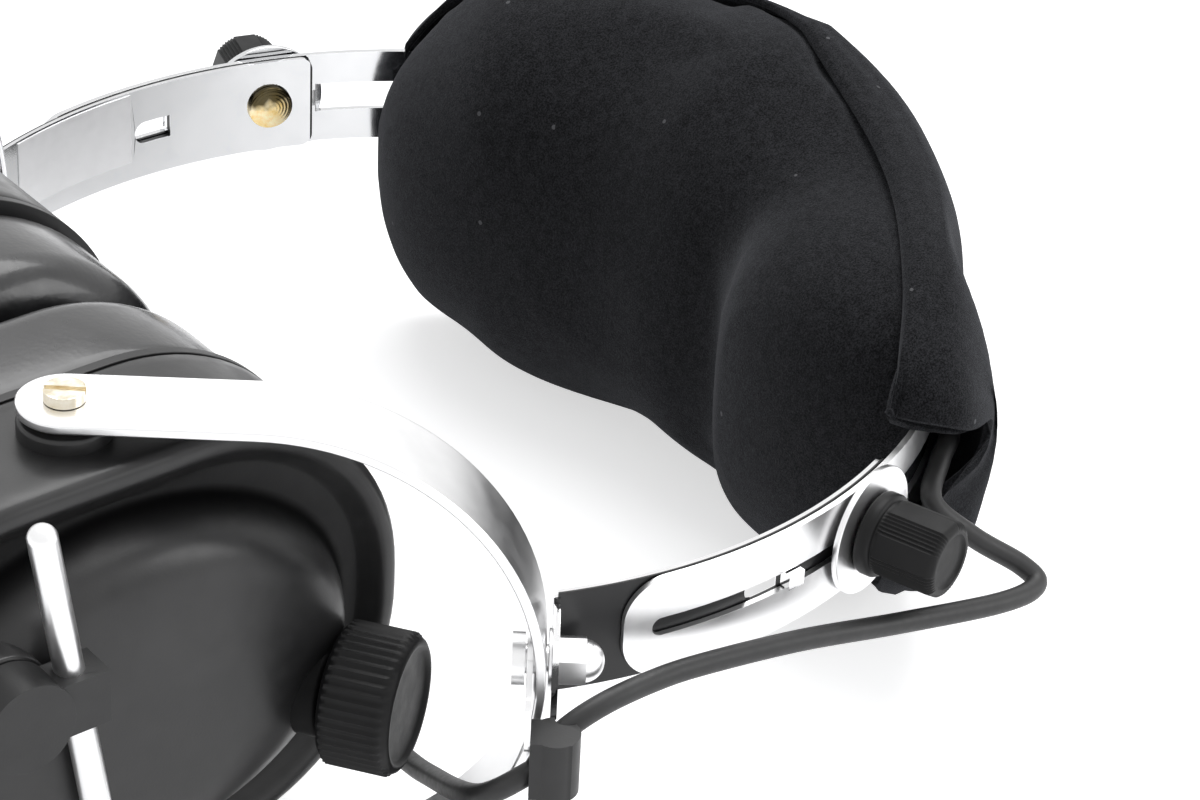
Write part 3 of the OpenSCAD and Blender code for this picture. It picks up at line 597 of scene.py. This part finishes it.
def make_lead():
    """Three stretches on each side, each left without a body, and one stretch in the pad on the
    headband.
    """
    for word, side in SIDES:
        run = NEAR_RUN if side < 0 else FAR_RUN
        hinge = HINGE_ROUTE + [run[0]]
        whole = smooth_route(hinge + run[1:], STEPS)
        cut = STEPS * (len(hinge) - 1)
        arm, yoke = f"{word}_arm_slide", f"{word}_yoke_frame"
        turn = run[2] + Vector((LEAD_TURN, 0, 0))
        for tag, part, a, b, start, end in (
                ("run", tube(whole, LEAD_D, cut), "headband", arm, turn, run[0]),
                ("hinge", tube(whole, LEAD_D, 0, cut + 1), arm, yoke, run[0], hinge[1]),
                ("cup", tube(smooth_route(CUP_ROUTE, STEPS), LEAD_D), yoke, f"{word}_cup",
                 CUP_ROUTE[-1], CUP_ROUTE[1])):
            obj = piece(f"{word}_cord_{tag}", *in_row(part, side), "jacket", "lead_jacket", None,
                        (f"{word}_lead_{tag}",))
            sharpen(obj, 60)
            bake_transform(obj)
    rise = LEAD_PAD_R - LEAD_DIP - BAND_R
    arc = [on_arc(BAND_R + rise * smoothstep((abs(a) - LEAD_FLAT_A) / LEAD_RISE_A), a, 0)
           for a in range(-LEAD_END_A, LEAD_END_A + 1, 2)]
    piece("cord_in_pad", *in_row(tube(arc, LEAD_D), 1), "jacket", "lead_jacket", "headband",
          ("lead_pad",))


make_lead()

# ---------------------------------------------------------------- CAD nodes that keep their shape

# The nodes of each look, by their names without the side
KEPT = {
    "steel": ("headband_spring", "clamp_plate", "swivel_bolt", "swivel_washer", "acorn_nut",
              "clip_bracket", "baffle_screws", "volume_shaft", "boom_pivot_screw", "boom_rod"),
    "arm": ("arm",),
    "pale": ("pivot_bushes", "pivot_screws"),
    "film": ("blank_label",),
    "grey": ("speaker", "volume_pot"),
    "clip": ("cable_gland", "cable_clip", "baffle", "cord_inlet", "boom_hub"),
}
LOOK_OF = {name: look for look, names in KEPT.items() for name in names}

# Widths of the rounded edges in millimetres, the least angle that is rounded, the weld in metres
EDGE = {"headband_spring": 0.25, "arm": 0.25, "clamp_plate": 0.25, "cable_clip": 0.5,
        "boom_hub": 0.6, "pivot_screws": 0.25, "swivel_bolt": 0.2, "blank_label": 0.05}
PLAIN_EDGE, EDGE_ANGLE, WELD = 0.15, 35, 0.000004


def dress_nodes():
    for name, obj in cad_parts.items():
        plain = name.replace("left_", "").replace("right_", "")
        if plain not in LOOK_OF:
            continue
        obj.data.materials.clear()
        obj.data.materials.append(LOOKS[LOOK_OF[plain]])
        obj.modifiers.new("weld", "WELD").merge_threshold = WELD
        bevel = obj.modifiers.new("bevel", "BEVEL")
        bevel.width = EDGE.get(plain, PLAIN_EDGE) * MM
        bevel.segments = 3
        bevel.limit_method = "ANGLE"
        bevel.angle_limit = math.radians(EDGE_ANGLE)
        even_normals(obj)
        smooth(obj.data)


dress_nodes()

# ---------------------------------------------------------------- yokes

YOKE_EDGE, END_STEPS, LEG_STEPS, BEND_STEP = 0.45, 12, 8, 3


def strip_section(half, t, e):
    """Section of a strip with rounded edges, as (across, outwards)."""
    steps = 3
    out = []
    for k, (sv, sn) in enumerate(((1, 1), (-1, 1), (-1, -1), (1, -1))):
        for i in range(steps + 1):
            a = math.radians(90 * k + 90 * i / steps)
            out.append((sv * (half - e) + e * math.cos(a), sn * (t - e) + e * math.sin(a)))
    return out


def make_yoke(word, side):
    """Strip with two straight legs that end in half rounds, and a half circle between them."""
    half, start, centre = YOKE_W / 2, APEX - YOKE_R - YOKE_LEG, APEX - YOKE_R
    turns = [math.radians(90 * i / END_STEPS) for i in range(1, END_STEPS)]
    leg = [(start - half * math.cos(t), half * math.sin(t)) for t in turns]
    leg += [(start + YOKE_LEG * i / LEG_STEPS, half) for i in range(LEG_STEPS + 1)]
    marks = [(u, YOKE_R, 0, 1, w) for u, w in leg]
    for i in range(1, 180 // BEND_STEP):
        c, s = (f(math.radians(90 - BEND_STEP * i)) for f in (math.cos, math.sin))
        marks.append((centre + YOKE_R * c, YOKE_R * s, c, s, half))
    marks += [(u, -YOKE_R, 0, -1, w) for u, w in reversed(leg)]
    rings = [[SWIVEL + (u + n * nu) * LEAN + v * OUTWARD + Vector((0, 0, z + n * nz))
              for v, n in strip_section(w, YOKE_T / 2, YOKE_EDGE)] for u, z, nu, nz, w in marks]
    obj = piece(f"{word}_yoke_strip", *in_row(skin(rings), side), "steel", "polished_steel",
                f"{word}_yoke_frame", (f"{word}_yoke",))
    even_normals(obj)


# ---------------------------------------------------------------- ear cups

# The dome's ring, half length and half width; the middle and width of the painted shade in the
# groove round it; how dark the painted shadow on the volume boss is
DOME_R, DOME_LONG, DOME_WIDE = CORNER - 8, CUP_LEN / 2 - 9.5, CUP_WID / 2 - 7.5
GROOVE_R, GROOVE_W, BOSS_SHADE = 30.5, 1.9, 0.85
# Bosses: radius, height below the seat and edge radius
PIVOT_BOSS, PIVOT_BOSS_GAP = (8, 5, 0.8), 1.2
VOLUME_BOSS, BOOM_BOSS = (8.5, 9, 0.8), (8.5, 8, 0.6)
BOOM_X, BOOM_Y = -28, 15
# Knobs: radius, height, flats, ribs and their depth and power, and the mesh's sides per rib or flat
VOLUME_AXIS = Vector((math.sin(VOLUME_TILT), math.cos(VOLUME_TILT), 0))
VOLUME_SEAT, VOLUME_LIFT = cup(CORE_X + 20, -11, 3 - CUP_FACE), 1.1
VOLUME_R, VOLUME_H, VOLUME_RIBS, RIB_SIDES = 12.5, 13.0, 46, 6
VOLUME_RIB, VOLUME_POWER = 0.42, 0.7
CLAMP_R, CLAMP_H, CLAMP_FLATS, CLAMP_RIBS, FLAT_SIDES = 7.75, 15.6, 5, 6, 96
CLAMP_RIB, CLAMP_POWER, CLAMP_COLLAR = 0.32, 0.8, 3.5


def shell_ring(r, depth):
    """Ring of the shell: an even distance from the core on the lip, and an oval on the dome."""
    if r >= DOME_R:
        return rounded_ring(r, depth)
    long, wide = (k * r / DOME_R for k in (DOME_LONG, DOME_WIDE))
    ring = []
    for x, y, _ in rounded_ring(DOME_R, depth):
        k = 1 / math.hypot(x / long, y / wide)
        ring.append((k * x, k * y, depth))
    return ring


def outer_profile():
    """Outside of the shell from the dome's middle over the groove and the lip to the rim."""
    f, c = CUP_FACE, CORNER
    marks = [(0.3, -f), (8, 0.15 - f), (15, 0.6 - f), (20.5, 1.4 - f), (24.6, 2.7 - f),
             (27.3, 4.9 - f), (29, -17.8), (30, -14.6), (30.9, -12.6), (c - 7.8, -12.2),
             (c - 6, -13.2), (c - 4, -14.7), (c - 1.8, -14.8), (c - 0.6, -13.8), (c, -12), (c, -6),
             (c, 0), (c, RIM - 1)]
    flat = smooth_route([Vector((r, d, 0)) for r, d in marks], 4)
    return [(p.x, p.y) for p in flat] + [(c - 0.3, RIM - 0.3), (c - 1, RIM)]


def inner_profile():
    f, c, w = CUP_FACE, CORNER, WALL
    return [(c - w, RIM), (c - w, -9), (c - w - 2, -11), (c - 9, -10.6), (26, -13), (20, w + 3 - f),
            (0.3, w - f)]


def boss(size, top, seat, axis):
    """Round boss on the shell, up to a height over its seat."""
    r, low, e = size
    return lathe(round_profile(r, -low, top, e), seat, axis)


def make_shell(word, side):
    rings = [[cup(*p) for p in shell_ring(r, d)] for r, d in outer_profile() + inner_profile()]
    parts = [skin(rings)]
    top = YOKE_IN - PIVOT_BOSS_GAP - CUP_WID / 2
    for s in (-1, 1):
        parts.append(boss(PIVOT_BOSS, top, cup(0, s * CUP_WID / 2, 0), Vector((0, 0, s))))
    first = sum(len(v) for v, _ in parts)
    parts.append(boss(VOLUME_BOSS, 0, VOLUME_SEAT, VOLUME_AXIS))
    if side < 0:
        parts.append(boss(BOOM_BOSS, 0, cup(BOOM_X, BOOM_Y, -CUP_FACE), Vector((0, 1, 0))))
    obj = piece(f"{word}_shell_skin", *in_row(joined(*parts), side), "shell", "black_plastic",
                f"{word}_cup", (f"{word}_cup_shell",))
    sharpen(obj)
    # Painted shade on the mesh: a band of darkness along the groove, and a painted shadow on the
    # volume boss
    marks = obj.data.attributes.new("groove", "FLOAT", "POINT")
    n = len(rings[0])
    for i, (r, _) in enumerate(outer_profile()):
        for j in range(n):
            marks.data[i * n + j].value = hill(r, GROOVE_R, GROOVE_W)
    for i in range(len(parts[3][0])):
        marks.data[first + i].value = BOSS_SHADE


def knurled(word, side):
    """Volume knob: fine ribs round the side, a bevelled rim and a sunk end."""
    r, h = VOLUME_R, VOLUME_H

    def radius(a, k, z):
        if k < r - 0.9 or z < 0.7 or z > h - 1.3:
            return k
        return k - VOLUME_RIB * (0.5 - 0.5 * math.cos(VOLUME_RIBS * a)) ** VOLUME_POWER

    profile = [(AXIS_R, 0), (r - 1.4, 0), (r - 1, 0.15), (r - 0.7, 0.6), (r, 0.9), (r, 2),
               (r, h / 2), (r, h - 2.4), (r, h - 1.6), (r - 0.5, h - 1.2), (r - 0.9, h - 0.5),
               (r - 1.6, h - 0.05), (r - 2.2, h - 0.1), (r - 2.7, h - 0.7), (r - 3.4, h - 1.0),
               (r - 6, h - 1.1), (AXIS_R, h - 1.1)]
    seat = VOLUME_SEAT + VOLUME_LIFT * VOLUME_AXIS
    part = lathe(profile, seat, VOLUME_AXIS, VOLUME_RIBS * RIB_SIDES, radius)
    obj = piece(f"{word}_volume_cap", *in_row(part, side), "knob", "black_plastic",
                f"{word}_volume", (f"{word}_volume_knob",))
    sharpen(obj)


def clamp_cap(word, side):
    """Clamp knob: a collar, and a grip whose flats alternate with fine ribs, with a sunk end."""
    step = math.pi / CLAMP_FLATS
    r, h = CLAMP_R, CLAMP_H
    grip, hole = r - 0.6, 1.75

    def radius(t, k, z):
        if z < CLAMP_COLLAR or k < grip - 1.3:
            return k
        turn = (t + step / 2) % (2 * step)
        if turn < step:
            return k * min(1.0, math.cos(step / 2) / math.cos(turn - step / 2))
        wave = math.cos(2 * math.pi * CLAMP_RIBS * (turn - step) / step)
        return k - CLAMP_RIB * (0.5 - 0.5 * wave) ** CLAMP_POWER

    profile = [(hole, 0.5), (hole, 0), (r - 0.8, 0), (r - 0.2, 0.25), (r, 0.7), (r, 2.4),
               (r - 0.25, 2.9), (r - 0.9, 3.1), (grip - 0.35, 3.4), (grip - 0.1, 3.8), (grip, 4.2),
               (grip, h / 2), (grip, h - 1.3), (grip - 0.2, h - 0.8), (grip - 0.7, h - 0.25),
               (grip - 1.4, h), (grip - 2.0, h - 0.05), (grip - 2.3, h - 0.5),
               (grip - 2.8, h - 0.6), (AXIS_R, h - 0.6)]
    seat = (BAND_OUT + SLIDE_GAP + DISC_T + SLIDE_GAP) * STUD_AXIS
    part = lathe(profile, seat, STUD_AXIS, CLAMP_FLATS * FLAT_SIDES, radius, Vector((0, 0, 1)))
    obj = piece(f"{word}_clamp_cap", *in_row(part, side), "knob", "black_plastic", f"{word}_clamp",
                (f"{word}_clamp_knob",))
    sharpen(obj)


def stud_head(word, side):
    """Clamp stud: a low dome with turned rings and a rounded rim, on a plain shank."""
    r, rim, rings, sides = STUD_HEAD_D / 2, 0.45, 36, 96
    height, fall, ripple, pitch = 1.4, 0.5, 0.012, 0.7
    shank_r, shank_len, axis_r = 1.6, 15, 0.04
    dome = []
    for i in range(1, rings):
        k = (r - rim) * i / rings
        dome.append((k, height - fall * (k / r) ** 2 + ripple * math.sin(2 * math.pi * k / pitch)))
    low = dome[-1][1]
    turns = (0.3, 0.7, 1.1, 1.45)
    edge = [(r - rim + rim * math.sin(t), low - rim * (1 - math.cos(t))) for t in turns]
    profile = [(axis_r, height)] + dome + edge
    profile += [(r, 0.05), (shank_r, 0), (shank_r, -shank_len), (axis_r, -shank_len)]
    part = lathe(profile, STUD_SEAT * STUD_AXIS, -STUD_AXIS, sides)
    obj = piece(f"{word}_stud_head", *in_row(part, side), "brass", "brass", f"{word}_arm_slide",
                (f"{word}_clamp_stud",))
    sharpen(obj)


# ---------------------------------------------------------------- head pad

# Where the cushion and the cover end, in degrees from the crown; the near end has negative angles
NEAR_END, FAR_END, FAR_COVER_END, COVER_PAST = 60.0, 59.2, 55.6, 0.6
# Half widths at the ends, depths at the ends and the crown, and how far the pad hangs
END_W_NEAR, END_W_FAR, END_W_COVER, END_BLEND = 15.0, 7.0, 10.8, 8
END_DEPTH, FULL_DEPTH, WAIST = 6.0, 43.0, 6.5
PAD_SAG, SHOULDER_SAG, DROOP = 5.0, 3, 10.0
# Powers that round the section: the cushion's depth and height, the cover's height, the filling
SIDE_BEND, TOP_BEND, COVER_BEND, DEPTH_BEND = 0.7, 0.6, 0.8, 0.8
# The cover: its rise over the cushion's back, thickness, flare and dent at the near end, and ripple
COVER_RISE, COVER_T, FLARE, DENT, CROWN_FULL, RIPPLE = 8.6, 1.6, 5.5, 3.4, 3.0, 0.7
# The cover's open end, in degrees: long above, cut back outside, long below; its step is a share
HEM_TOP, HEM_CUT, HEM_LOW, HEM_STEP = 3.4, 8.0, 4.0, 0.4
# The seam: how far inside the back it lies, its dip and width, and how the cover lifts off it
SEAM_IN, SEAM_END, SEAM_DIP, SEAM_W, SEAM_REACH, SEAM_SLOPE = 8.5, 0.12, 1.1, 1.3, 3, 0.3
HEM_LIFT, HEM_SINK, WRAP, SPAN = 1.3, 0.5, 8, 40
# The cloth: its mesh, pressure, the cap on a point's move, frames, stiffness, mass and subdivision
VOXEL, PRESSURE, MOVE_CAP, FRAMES = 0.0042, 3.0, 0.003, 20
STIFF, BEND_STIFF, CLOTH_MASS, SMOOTHING = 12, 0.6, 0.25, 2
# Height under which a soft piece lies flat on the ground
REST_SOFT = 1.5 * MM


def apply_modifiers(obj):
    deps = bpy.context.evaluated_depsgraph_get()
    mesh = bpy.data.meshes.new_from_object(obj.evaluated_get(deps))
    old = obj.data
    looks = list(old.materials)
    obj.modifiers.clear()
    obj.data = mesh
    mesh.materials.clear()
    for m in looks:
        mesh.materials.append(m)
    bpy.data.meshes.remove(old)


def swell(obj):
    """Blows the piece up as cloth, caps how far a point moves, and keeps the result as its mesh."""
    remesh = obj.modifiers.new("remesh", "REMESH")
    remesh.mode, remesh.voxel_size = "VOXEL", VOXEL
    apply_modifiers(obj)
    before = [v.co.copy() for v in obj.data.vertices]
    cloth = obj.modifiers.new("cloth", "CLOTH")
    s = cloth.settings
    s.use_pressure, s.uniform_pressure_force = True, PRESSURE
    s.effector_weights.gravity = 0
    s.tension_stiffness = s.compression_stiffness = STIFF
    s.bending_stiffness = BEND_STIFF
    s.mass = CLOTH_MASS
    cloth.point_cache.frame_end = FRAMES
    scene = bpy.context.scene
    for f in range(1, FRAMES + 1):
        scene.frame_set(f)
    apply_modifiers(obj)
    scene.frame_set(1)
    for v, p in zip(obj.data.vertices, before):
        step = v.co - p
        if step.length > MOVE_CAP:
            v.co = p + step * (MOVE_CAP / step.length)
    sub = obj.modifiers.new("sub", "SUBSURF")
    sub.levels = sub.render_levels = SMOOTHING
    apply_modifiers(obj)
    smooth(obj.data)


def rest(obj):
    """Flattens the underside where the piece lies on the ground."""
    for v in obj.data.vertices:
        if v.co.z < REST_SOFT:
            v.co.z = REST_SOFT * math.exp((v.co.z - REST_SOFT) / REST_SOFT)


def reach(a, cover=False):
    """How near an angle is to the pad's end, 0 at the crown and 1 at the end."""
    far = FAR_COVER_END if cover else FAR_END
    return min(1.0, abs(a) / (far if a > 0 else NEAR_END))


def fullness(a, cover=False):
    """How full the pad is, 1 at the crown and 0 at the end."""
    power, bend = (4.2, 0.75 if cover else 0.55) if a > 0 else (4.0, 0.6)
    return max(0.0, 1 - reach(a, cover) ** power) ** bend


def shoulder(a, cover=False):
    """How near an angle is to the middle between the crown and the end."""
    return math.sin(math.pi * reach(a, cover))


def half_width(a, cover=False):
    far = END_W_COVER if cover else END_W_FAR
    end = END_W_NEAR + (far - END_W_NEAR) / (1 + math.exp(-a / END_BLEND))
    dip = SHOULDER_SAG * shoulder(a, cover) if a < 0 else 0
    return end + (MID_Z - PAD_SAG - end) * fullness(a, cover) - dip


def sag(a, cover=False):
    droop = 0 if cover else DROOP * smoothstep((a - 42) / 17)
    return -PAD_SAG * fullness(a, cover) - SHOULDER_SAG * shoulder(a, cover) - droop


def depth_at(a):
    full = (FULL_DEPTH - END_DEPTH) * fullness(a) ** DEPTH_BEND
    return END_DEPTH + full - WAIST * hill(a, -25, 10)


def inner_section(a, t):
    """Radius and height of the cushion's section, at t from 0 at the top to pi at the bottom."""
    corner = TOP_BEND + (0.4 * smoothstep((a - 38) / 16) if a > 0 else 0)
    if a < 0 and t > math.pi / 2:
        corner += 0.25 * smoothstep((-a - 28) / 24)
    return (PAD_BACK - depth_at(a) * bent(math.sin(t), SIDE_BEND),
            sag(a) + half_width(a) * bent(math.cos(t), corner))


def cover_rise(a):
    """How far the cover stands off the back: fullest past the crown, flared at the near end."""
    full = CROWN_FULL * hill(a, -12, 10) - CROWN_FULL * hill(a, 14, 12)
    flare = FLARE * smoothstep((-a - 38) / 18) if a < 0 else 0
    return COVER_RISE + full - DENT * hill(a, -40, 7) + flare


def hem(a):
    """How near a place of the cover is to its open end."""
    return smoothstep((-a - 50) / 10)


def hem_slant(t):
    """How far the cover's end runs on: long above, cut back at the outer side, long again below."""
    cut = HEM_CUT * hill(t, 1.3, 0.34)
    low = HEM_LOW * smoothstep((t - 1.6) / 0.5) * (1 - smoothstep((t - 2.3) / 0.6))
    return HEM_TOP * (1 - smoothstep(t / 0.9)) - cut + low


def outer_section(a, t):
    """Radius and height of the cover's section at an angle t from the top to the bottom."""
    ripple = RIPPLE * smoothstep((abs(a) - 24) / 20) * math.sin(0.42 * a + 3 * t)
    step = 1 - HEM_STEP * hem(a) * smoothstep((t - 1.5) / 0.3)
    rise = (cover_rise(a) + ripple) * step * bent(math.sin(t), 0.75 + 0.35 * shoulder(a, True))
    return (PAD_BACK + COVER_GAP + rise,
            sag(a, True) + (half_width(a, True) - 0.5) * bent(math.cos(t), COVER_BEND))


def seam_r(a):
    """Radius at which the cover is sewn to the cushion."""
    return PAD_BACK - SEAM_IN * max(SEAM_END, (1 - reach(a) ** 6) / (1 + math.exp(a / 5)))


def make_cushion():
    rings = []
    half, span = 30, 40
    for i in range(-half, half + 1):
        k = math.sin(math.radians(90 // half * i))
        a = k * (FAR_END if k > 0 else NEAR_END)
        line = [inner_section(a, math.pi * j / span) for j in range(span + 1)]
        rings.append([on_arc(r, a, z) for r, z in line])
    obj = piece("head_cushion", *in_row(skin(rings), 1), "fleece", "fleece", "headband",
                ("pad_cushion",))
    swell(obj)
    for v, n in zip(obj.data.vertices, [v.normal.copy() for v in obj.data.vertices]):
        p = v.co / MM - SHIFT
        r, a = math.hypot(p.x, p.y), math.degrees(math.atan2(p.y, p.x))
        gap = (r - seam_r(a)) / SEAM_W
        if abs(n.z) > SEAM_SLOPE and abs(gap) < SEAM_REACH:
            v.co -= n * SEAM_DIP * math.exp(-gap * gap) * MM
    rest(obj)


def tucked(a, t, step, way):
    """A place of the cover on the cushion, some steps from its sewn edge."""
    r, z = inner_section(a, t)
    return r, z + way * (HEM_LIFT * smoothstep(3 * step / WRAP) - HEM_SINK)


def cover_line(a):
    """The cover's outer section at an angle, from its sewn edge above to the one below."""
    deep = min(1.0, max(0.0, (PAD_BACK - seam_r(a)) / depth_at(a)))
    edge = math.asin(deep ** (1 / SIDE_BEND))
    line = [tucked(a, edge * (1 - j / WRAP), j, 1) for j in range(WRAP)]
    line += [outer_section(a, math.pi * j / SPAN) for j in range(SPAN + 1)]
    line += [tucked(a, math.pi - edge * (j + 1) / WRAP, WRAP - 1 - j, -1) for j in range(WRAP)]
    return line


def make_cover():
    rings = []
    half = 48
    for i in range(-half, half + 1):
        k = math.sin(math.radians(90 / half * i))
        a = k * (FAR_COVER_END if k > 0 else NEAR_END + COVER_PAST)
        line = cover_line(max(-NEAR_END, a))
        inside = []
        for j, (r, z) in enumerate(line):
            r0, z0 = line[max(j - 1, 0)]
            r1, z1 = line[min(j + 1, len(line) - 1)]
            size = math.hypot(r1 - r0, z1 - z0) or 1.0
            inside.append((r + COVER_T * (z1 - z0) / size, z - COVER_T * (r1 - r0) / size))
        slant = [hem(a) * hem_slant(math.pi * (j - WRAP) / SPAN) for j in range(len(line))]
        both = zip(line + inside[::-1], slant + slant[::-1])
        rings.append([on_arc(r, a - lean, z) for (r, z), lean in both])
    obj = piece("head_cover", *in_row(skin(rings), 1), "fleece", "fleece", "headband",
                ("pad_cover",))
    rest(obj)


# ---------------------------------------------------------------- seals and liners

# Edge radii of the seal towards the ear and towards the cup
SEAL_FRONT, SEAL_REAR = 8.0, 4.0


def seal_profile():
    """Section of the seal's ring, four round corners, as distance from the core and depth."""
    front, rear = SEAL_FACE - SEAL_FRONT, SEAL_BACK + SEAL_REAR
    marks = []
    for start, steps, e, r, d in (
            (0, 8, SEAL_FRONT, SEAL_OUT - SEAL_FRONT, front),
            (90, 8, SEAL_FRONT, SEAL_IN + SEAL_FRONT, front),
            (180, 4, SEAL_REAR, SEAL_IN + SEAL_REAR, rear),
            (270, 4, SEAL_REAR, SEAL_OUT - SEAL_REAR, rear)):
        for i in range(steps + 1):
            t = math.radians(start + 90 * i / steps)
            marks.append((r + e * math.cos(t), d + e * math.sin(t)))
    return marks


def make_seal(word, side):
    rings = [[cup(*p) for p in rounded_ring(r, d, 24, 10, 3)] for r, d in seal_profile()]
    n = len(rings[0])
    verts, faces = skin(rings, caps=False)
    top = (len(rings) - 1) * n
    faces += [(top + j, top + (j + 1) % n, (j + 1) % n, j) for j in range(n)]
    obj = piece(f"{word}_seal_cushion", *in_row((verts, faces), side), "seal", "seal_cover",
                f"{word}_cup", (f"{word}_ear_seal",))


def make_liner(word, side):
    r, low = SEAL_IN - 0.6, SEAL_BACK
    profile = ((0.3, low + 0.2), (r - 0.4, low + 0.2), (r, low + 0.6), (r, low + 2.4),
               (r - 0.5, low + 3.0), (r - 2, low + 3.2), (0.3, low + 3.2))
    rings = [[cup(*p) for p in rounded_ring(k, d, 16, 8, 2)] for k, d in profile]
    obj = piece(f"{word}_ear_foam", *in_row(skin(rings), side), "foam", "foam", f"{word}_cup",
                (f"{word}_foam_liner",))
    sharpen(obj, 60)


for word, side in SIDES:
    make_yoke(word, side)
    make_shell(word, side)
    knurled(word, side)
    clamp_cap(word, side)
    stud_head(word, side)
    make_seal(word, side)
    make_liner(word, side)
make_cushion()
make_cover()

# ---------------------------------------------------------------- floor and light

FLOOR_SIZE, FLOOR_GLOW, SKY_LIGHT = 8, 0.62, 0.45


def background_ray(tree):
    """1 for the rays that see the white background: the camera's, through glass, off metal."""
    path = tree.nodes.new("ShaderNodeLightPath").outputs
    seen = path["Is Camera Ray"]
    for word in ("Is Transmission Ray", "Is Glossy Ray"):
        either = tree.nodes.new("ShaderNodeMath")
        either.operation = "MAXIMUM"
        tree.links.new(seen, either.inputs[0])
        tree.links.new(path[word], either.inputs[1])
        seen = either.outputs[0]
    return seen


def make_world():
    world = bpy.data.worlds.new("studio")
    bpy.context.scene.world = world
    world.use_nodes = True
    t = world.node_tree
    t.nodes.clear()
    mix = t.nodes.new("ShaderNodeMixShader")
    t.links.new(background_ray(t), mix.inputs[0])
    for i, colour, strength in ((1, (0.97, 0.98, 1.0, 1), SKY_LIGHT), (2, (1, 1, 1, 1), 1.0)):
        sky = t.nodes.new("ShaderNodeBackground")
        sky.inputs["Color"].default_value = colour
        sky.inputs["Strength"].default_value = strength
        t.links.new(sky.outputs[0], mix.inputs[i])
    t.links.new(mix.outputs[0], t.nodes.new("ShaderNodeOutputWorld").inputs[0])


def make_floor():
    mat = bpy.data.materials.new("floor_white")
    mat.use_nodes = True
    t = mat.node_tree
    base = t.nodes["Principled BSDF"].inputs
    base["Base Color"].default_value = (0.88, 0.88, 0.885, 1)
    base["Roughness"].default_value = 0.9
    base["Specular IOR Level"].default_value = 0.1
    base["Emission Color"].default_value = (1, 1, 1, 1)
    glow = t.nodes.new("ShaderNodeMath")
    glow.operation = "MULTIPLY"
    glow.inputs[1].default_value = FLOOR_GLOW
    t.links.new(background_ray(t), glow.inputs[0])
    t.links.new(glow.outputs[0], base["Emission Strength"])
    bpy.ops.mesh.primitive_plane_add(size=FLOOR_SIZE, location=(0, 0, 0))
    floor = bpy.context.object
    floor.name = "floor"
    floor.data.materials.append(mat)


def area_lamp(name, spot, aim, size, power):
    data = bpy.data.lights.new(name, "AREA")
    data.shape, data.size, data.size_y = "RECTANGLE", size, size
    data.energy = power
    obj = bpy.data.objects.new(name, data)
    obj.location = spot
    obj.rotation_euler = (Vector(aim) - Vector(spot)).to_track_quat("-Z", "Y").to_euler()
    bpy.context.scene.collection.objects.link(obj)


bpy.context.scene.view_settings.view_transform = "Standard"
make_world()
make_floor()
area_lamp("key", (0.45, 0.35, 1.3), (0, 0, 0.03), 1.1, 13.0)
area_lamp("side", (0.9, -0.9, 0.6), (0.02, -0.02, 0.05), 0.7, 4.0)
